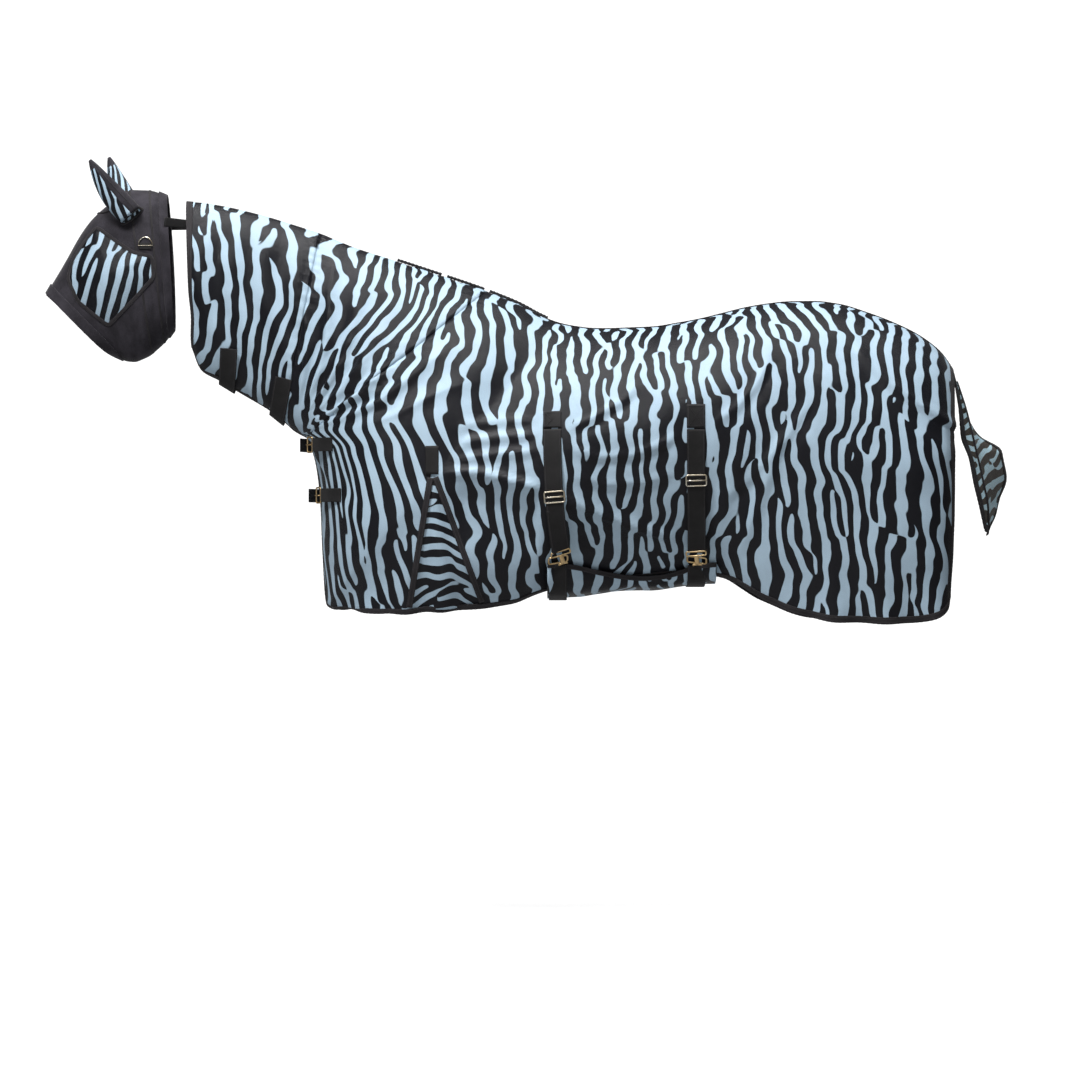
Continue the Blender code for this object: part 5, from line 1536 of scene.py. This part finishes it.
@dataclass
class Mask:
    """The fly mask: fleece shell, eye meshes, bands, ears, rings and poll straps."""

    shape: WornShape
    wardrobe: Wardrobe
    rings: Sequence[Point] = ((-1.078, 0.350, -1.060, -0.022, 0.080), (-1.125, 0.366, -1.085, -0.055, 0.092),
                              (-1.175, 0.368, -1.115, -0.083, 0.099), (-1.235, 0.332, -1.145, -0.103, 0.102),
                              (-1.288, 0.286, -1.170, -0.112, 0.099), (-1.332, 0.222, -1.192, -0.109, 0.092),
                              (-1.374, 0.150, -1.208, -0.104, 0.084), (-1.418, 0.075, -1.222, -0.099, 0.077))
    eye: Sequence[Point] = ((-1.272, 0.262), (-1.218, 0.222), (-1.170, 0.190), (-1.116, 0.178),
                            (-1.112, 0.120), (-1.175, 0.050), (-1.238, -0.014), (-1.288, 0.025),
                            (-1.324, 0.055), (-1.352, 0.118), (-1.338, 0.172), (-1.305, 0.222))
    forelock: tuple[float, ...] = (-1.232, 0.352, 0.042, 0.052, 0.040)
    ear_base: Point = (-1.172, 0.290)
    ear_tips: tuple[Point, Point] = ((-1.287, 0.445), (-1.252, 0.468))

    def ring(self, at: Array | float, turn: Array, lift: float = 0.0) -> Array:
        """Points of rings round the head, counted from the rear one."""
        x0, z0, x1, z1, wide = np.moveaxis(eased(np.array(self.rings), at), -1, 0)[..., None]
        cos, sin = np.cos(turn), np.sin(turn)
        across = np.sign(sin) * np.abs(sin) ** 0.8
        half = np.hypot(x0 - x1, z0 - z1) / 2
        swell = cos * (1 + lift / half)
        return np.stack([(x0 + x1) / 2 + (x0 - x1) / 2 * swell, (wide + lift) * across,
                         (z0 + z1) / 2 + (z0 - z1) / 2 * swell], axis=-1)

    def eye_outline(self, count: int = 96) -> Array:
        """The eye panel's outline, rounded at its corners."""
        points = np.array([*self.eye, self.eye[0]], float)
        line = evenly(np.concatenate([points, np.zeros((len(points), 1))], axis=1), 0.004)[:-1, :2]
        for _ in range(6):
            line = (np.roll(line, 1, axis=0) + 2 * line + np.roll(line, -1, axis=0)) / 4
        pick = np.linspace(0, len(line), count, endpoint=False)
        rows = np.concatenate([line, line[:1]])
        return read_at(rows, pick, np.arange(len(rows)))

    def build(self) -> None:
        """Every piece of the mask."""
        turn = np.linspace(0, 2 * np.pi, 121)[:-1]
        places = np.linspace(0, len(self.rings) - 1, 78)
        self.points = self.ring(places, turn)
        rows, columns = self.points.shape[:2]
        self.tree = BVHTree.FromPolygons(self.points.reshape(-1, 3).tolist(), grid_faces(rows, columns, True))
        self.build_shell(turn, places)
        for side in Side:
            self.build_eye(side)
            self.build_ear(side)
            self.build_ring(side)
            self.build_poll_strap(side)
        self.build_bands(turn)

    def cast(self, x: float, z: float, side: Side) -> tuple[Array, Array]:
        """Where the line through x and z meets the shell on a side, and the way out."""
        hit, normal, _, _ = self.tree.ray_cast(Vector((x, 2.0 * side.value, z)), Vector((0, -side.value, 0)))
        if hit is None:
            hit, normal, _, _ = self.tree.find_nearest(Vector((x, 0.2 * side.value, z)))
        normal = -normal if normal.y * side.value < 0 else normal
        return np.array(hit), np.array(normal)

    def build_shell(self, turn: Array, places: Array) -> None:
        """The fleece, open at the eyes and at the forelock."""
        points = self.points.copy()
        rows, columns = points.shape[:2]
        around = np.arange(columns) / columns * 0.9
        run = np.linspace(0, 0.42, rows)
        plane = np.stack(np.meshgrid(run, around, indexing="ij"), axis=-1)
        wave = WornShape.crumple(plane[..., 0], np.abs(plane[..., 1] - 0.45), 0.8, 0.20, 0.06)
        middle = points.mean(axis=1, keepdims=True)
        points = points + unit(points - middle) * (0.0016 * wave)[..., None]
        outline = self.eye_outline()
        inside = self.within(points[..., 0], points[..., 2], outline) & (np.abs(points[..., 1]) > 0.02)
        fx, fz, *half = self.forelock
        inside |= (((points - (fx, 0, fz)) / half) ** 2).sum(axis=-1) < 1
        self.snap(points, inside, outline)
        faces = [f for f in grid_faces(rows, columns, True) if sum(inside.ravel()[k] for k in f) < 3]
        piece = make_mesh("mask_fleece_shell", points, faces, plane, self.wardrobe.fleece)
        work = bmesh.new()
        work.from_mesh(piece.data)
        bmesh.ops.delete(work, geom=[v for v in work.verts if not v.link_faces], context="VERTS")
        work.to_mesh(piece.data)
        work.free()
        thicken(piece, 0.0022)
        hang(piece, "mask", Slot.FLEECE, "mask_shell")
        spots = []
        for t in turn[::2]:
            x, y = fx + half[0] * math.cos(t) * 0.98, half[1] * math.sin(t)
            hit = self.tree.ray_cast(Vector((x, y, 0.6)), Vector((0, 0, -1)))[0]
            if hit is None:
                hit = self.tree.find_nearest(Vector((x, y, 0.35)))[0]
            spots.append(np.array(hit) + np.array((0, 0, 0.001)))
        made = tube("forelock_rim", np.array(spots), 0.0032, self.wardrobe.binding, True)
        hang(made, "mask", Slot.BINDING)

    @staticmethod
    def within(x: Array, z: Array, outline: Array) -> Array:
        """Whether points lie inside an outline."""
        inside = np.zeros(np.shape(x), bool)
        for (ax, az), (bx, bz) in zip(outline, np.roll(outline, -1, axis=0)):
            crossing = (az > z) != (bz > z)
            at = ax + (z - az) * (bx - ax) / np.where(bz == az, 1e-9, bz - az)
            inside ^= crossing & (x < at)
        return inside

    @staticmethod
    def snap(points: Array, inside: Array, outline: Array) -> None:
        """Draws the last points inside an outline out onto it, so that the opening's edge is smooth."""
        steps = [(di, dj) for di in (-1, 0, 1) for dj in (-1, 0, 1) if di or dj]
        for i, j in np.argwhere(inside):
            around = [(i + di, (j + dj) % inside.shape[1]) for di, dj in steps if 0 <= i + di < inside.shape[0]]
            if all(inside[k] for k in around):
                continue
            here = points[i, j]
            gap = np.hypot(outline[:, 0] - here[0], outline[:, 1] - here[2])
            nearest = outline[gap.argmin()]
            if gap.min() < 0.02:
                points[i, j, 0], points[i, j, 2] = nearest

    def build_eye(self, side: Side) -> None:
        """The domed zebra mesh over an eye, and the piping round it."""
        label = side.label
        outline = self.eye_outline()
        centre = outline.mean(axis=0)
        shares = np.linspace(0, 1, 24)
        points, plane = [], []
        for share in shares:
            for x, z in centre + (outline - centre) * max(share, 0.01) * 0.995:
                spot, out = self.cast(x, z, side)
                points.append(spot + out * (0.019 * (1 - share * share) - 0.0002))
                plane.append((x - 0.25 * z + (0.4 if side is Side.RIGHT else 0.0), z))
        count = len(outline)
        faces = grid_faces(len(shares), count, True) + [tuple(range(count))[::-1]]
        piece = thicken(make_mesh(f"eye_mesh_cloth_{label}", np.array(points), faces, np.array(plane),
                                  self.wardrobe.eye), 0.001)
        hang(piece, "mask", Slot.CLOTH, f"eye_mesh_{label}")
        rim = [self.cast(x, z, side) for x, z in outline]
        line = np.array([p + n * 0.0016 for p, n in rim])
        outs = steadied(np.array([n for _, n in rim]), 2)
        made = Tape(0.010, 0.0040, self.wardrobe.binding, 0.08).sweep(f"eye_piping_{label}", line, outs,
                                                                      closed=True)
        hang(made, "mask", Slot.BINDING)

    def build_ear(self, side: Side) -> None:
        """An ear pocket: zebra mesh with a dark back panel, a dark tip and piping at its foot."""
        label = side.label
        base, out = self.cast(*self.ear_base, side)
        tip_x, tip_z = self.ear_tips[0 if side is Side.LEFT else 1]
        tip = np.array((tip_x, side.value * 0.120, tip_z))
        foot = base + (0, side.value * 0.017, 0)
        axis = unit(tip - foot)
        across = unit(np.cross(axis, (0, 1, 0)))
        deep = unit(np.cross(axis, across))
        turn = np.linspace(0, 2 * np.pi, 41)[:-1]
        radius = 0.034
        hem = []
        for t in turn:
            spot = base + (across * math.cos(t) + deep * 0.62 * math.sin(t)) * radius
            point, way = self.cast(spot[0], spot[2] - 0.012 * math.sin(t) * side.value, side)
            hem.append(point + way * 0.003)
        rows = [np.array(hem)]
        for share in np.linspace(0.05, 1, 30):
            fat = math.sin(math.pi * (0.42 + 0.56 * share)) ** 0.8
            size = radius * max(fat, 0.10)
            pinch = 0.004 * share * (1 - share) * np.cos(2 * turn + 0.6)
            bend = across * 0.008 * math.sin(math.pi * share)
            centre = foot + (tip - foot) * share + bend
            rows.append(centre + (across * np.cos(turn)[:, None] + deep * 0.62 * np.sin(turn)[:, None])
                        * (size + pinch)[:, None])
        rows = np.array(rows)
        length = np.linalg.norm(tip - foot)
        run = np.concatenate([[0], np.linspace(0.05, 1, 30)]) * length
        plane = np.stack([run[:, None] * 0.35 + np.abs(turn - math.pi) * radius * 0.9,
                          np.broadcast_to(run[:, None], rows.shape[:2])], axis=-1)
        count = len(turn)
        last = (len(rows) - 1) * count
        faces = grid_faces(len(rows), count, True) + [tuple(range(last, last + count))]
        piece = make_mesh(f"ear_cloth_{label}", rows, faces, plane, self.wardrobe.ear)
        piece.data.materials.append(self.wardrobe.fleece)
        back = (math.cos(2.6), math.sin(2.6))
        for k, polygon in enumerate(piece.data.polygons[:last]):
            row, column = divmod(k, count)
            angle = turn[column]
            dark = math.cos(angle) * back[0] - side.value * math.sin(angle) * back[1] > 0.62
            polygon.material_index = 1 if dark or row >= len(rows) - 5 else 0
        piece.data.polygons[last].material_index = 1
        thicken(piece, 0.0016)
        hang(piece, "mask", Slot.CLOTH, f"ear_{label}")
        rim = tube(f"ear_piping_{label}", np.array(hem) + out * 0.001, 0.0032, self.wardrobe.binding, True)
        hang(rim, "mask", Slot.BINDING)
        seam = rows[1:-2, int((0.36 if side is Side.LEFT else 0.64) * count)]
        made = tube(f"ear_seam_{label}", seam, 0.0016, self.wardrobe.binding)
        hang(made, "mask", Slot.BINDING)

    def build_ring(self, side: Side) -> None:
        """The cheek ring's tab; the ring itself keeps its CAD shape."""
        label = side.label
        place = PlateFrame.of(f"d_ring_tab_{label}", away=(0, side.value, 0))
        line = place.at(np.linspace(-0.018, 0.018, 9), 0.0, 0.0003)
        made = Tape(0.018, 0.0030, self.wardrobe.webbing).sweep(f"cheek_tab_{label}", line,
                                                             np.resize(place.out, (9, 3)))
        hang(made, "mask", Slot.FLEECE, f"d_ring_tab_{label}")
        ring = frame["nodes"][f"d_ring_{label}"]
        ring.data.materials.clear()
        ring.data.materials.append(self.wardrobe.nickel)

    def build_poll_strap(self, side: Side) -> None:
        """The strap that runs in under the neck cover."""
        label = side.label
        low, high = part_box(f"poll_strap_{label}")
        points = np.array([v.co[:] for v in frame["nodes"][f"poll_strap_{label}"].data.vertices])
        rear = points[points[:, 0] > high.x - 0.004].mean(axis=0)
        front = points[points[:, 0] < low.x + 0.004].mean(axis=0)
        line = front + (rear - front) * np.linspace(0, 1, 14)[:, None]
        made = Tape(0.025, 0.0024, self.wardrobe.webbing).sweep(f"poll_band_{label}", line,
                                                             np.resize((0, side.value, 0.0), (14, 3)))
        hang(made, body_of(f"poll_strap_{label}"), Slot.WEBBING, f"poll_strap_{label}")

    def build_bands(self, turn: Array) -> None:
        """The nose band, the rear band and the seams that shape the fleece."""
        last = len(self.rings) - 1
        for name, at, width, node in (("nose_band_fleece", last - 0.20, 0.030, "nose_band"),
                                      ("rear_band_fleece", 0.26, 0.026, "mask_rear_band")):
            line = self.ring(at, turn, 0.0042)
            ahead = self.ring(min(at + 0.1, last), turn, 0.0042) - self.ring(at - 0.1, turn, 0.0042)
            made = Tape(width, 0.0034, self.wardrobe.fleece, 0.05, 0.03).sweep(
                name, line, line - line.mean(axis=0), True, sideways=ahead)
            hang(made, "mask", Slot.FLEECE, node)
        for name, at in (("mask_seam_brow", 2.15), ("mask_seam_cheek", 1.05)):
            line = self.ring(at, turn, 0.0016)
            ahead = self.ring(at + 0.1, turn) - self.ring(at - 0.1, turn)
            made = Tape(0.006, 0.0018, self.wardrobe.binding, 0.05).sweep(
                name, line, line - line.mean(axis=0), True, sideways=ahead)
            hang(made, "mask", Slot.BINDING)


# ---------------------------------------------------------------- studio


class Studio:
    """The floor, the soft lights and the camera."""

    AIM = Vector((-0.038, 0.0, -0.609))
    WIDE = 3.02
    DISTANCE = 16.0
    GROUND = -1.662
    FLOOR_REACH = 7.0
    FLOOR_GLOW = 0.86
    AIR = 0.07
    BACKDROP = 1.2
    LIGHTS = (("key", (-2.6, -4.4, 6.0), 2.0, 690.0), ("top", (0.3, -0.6, 5.5), 3.0, 340.0),
              ("fill", (0.0, -8.0, 0.6), 4.0, 80.0))

    def build(self) -> None:
        """All of the studio."""
        self.build_floor()
        self.build_lights()
        self.build_camera()

    def build_floor(self) -> None:
        """A plain floor that the camera sees white."""
        reach = self.FLOOR_REACH
        corners = [(-reach, -reach), (reach, -reach), (reach, reach), (-reach, reach)]
        mesh = bpy.data.meshes.new("studio_floor")
        mesh.from_pydata([(x, y, self.GROUND) for x, y in corners], [], [(0, 1, 2, 3)])
        made, w, shader = plain_material("studio_paper")
        shader.inputs["Base Color"].default_value = (0.35, 0.35, 0.35, 1)
        shader.inputs["Roughness"].default_value = 0.95
        shader.inputs["Specular IOR Level"].default_value = 0.0
        shader.inputs["Emission Color"].default_value = (1, 1, 1, 1)
        seen = w.put("ShaderNodeLightPath").outputs["Is Camera Ray"]
        w.feed(shader.inputs["Emission Strength"], w.maths("MULTIPLY", seen, self.FLOOR_GLOW))
        mesh.materials.append(made)
        floor = bpy.data.objects.new("studio_floor", mesh)
        bpy.context.scene.collection.objects.link(floor)

    def build_lights(self) -> None:
        """Broad soft lights, and a surround that the camera alone sees bright white."""
        world = bpy.data.worlds.new("studio_air")
        bpy.context.scene.world = world
        world.use_nodes = True
        w = Wiring(world.node_tree)
        background = world.node_tree.nodes["Background"]
        background.inputs["Color"].default_value = (1.0, 1.0, 1.0, 1)
        seen = w.put("ShaderNodeLightPath").outputs["Is Camera Ray"]
        w.feed(background.inputs["Strength"],
               w.maths("ADD", self.AIR, w.maths("MULTIPLY", seen, self.BACKDROP - self.AIR)))
        bpy.context.scene.view_settings.view_transform = "Standard"
        for name, place, size, power in self.LIGHTS:
            light = bpy.data.lights.new(name, "AREA")
            light.size, light.energy = size, power
            lamp = bpy.data.objects.new(name, light)
            lamp.location = place
            lamp.rotation_euler = (self.AIM - Vector(place)).to_track_quat("-Z", "Y").to_euler()
            bpy.context.scene.collection.objects.link(lamp)

    def build_camera(self) -> None:
        """A long lens square to the horse's near side."""
        data = bpy.data.cameras.new("camera")
        data.sensor_width = 36.0
        data.lens = 36.0 * self.DISTANCE / self.WIDE
        data.clip_end = 100.0
        camera = bpy.data.objects.new("camera", data)
        camera.location = self.AIM + Vector((0, -self.DISTANCE, 0))
        camera.rotation_euler = (math.pi / 2, 0, 0)
        bpy.context.scene.collection.objects.link(camera)
        bpy.context.scene.camera = camera


def main() -> None:
    """Builds the sheet's sub-assemblies in order, then the studio."""
    logging.basicConfig(level=logging.INFO, format="%(message)s")
    shape, wardrobe = WornShape(), Wardrobe()
    Studio().build()
    BodySheet(shape, wardrobe).build()
    Surcingle(shape, wardrobe, "front", -0.003, -0.258, 0.045, -0.500, -0.628, 0.016).build()
    Surcingle(shape, wardrobe, "rear", 0.391, -0.238, 0.065, -0.448, -0.628, 0.006).build()
    BellyFlap(shape, wardrobe).build()
    ChestFastening(shape, wardrobe, "upper", -0.345, -0.684).build()
    ChestFastening(shape, wardrobe, "lower", -0.486, -0.660).build()
    ThroatStrap(shape, wardrobe, "front", 2.35).build()
    ThroatStrap(shape, wardrobe, "rear", 4.60).build()
    TailFlap(wardrobe).build()
    Mask(shape, wardrobe).build()


if __name__ == "__main__":
    main()
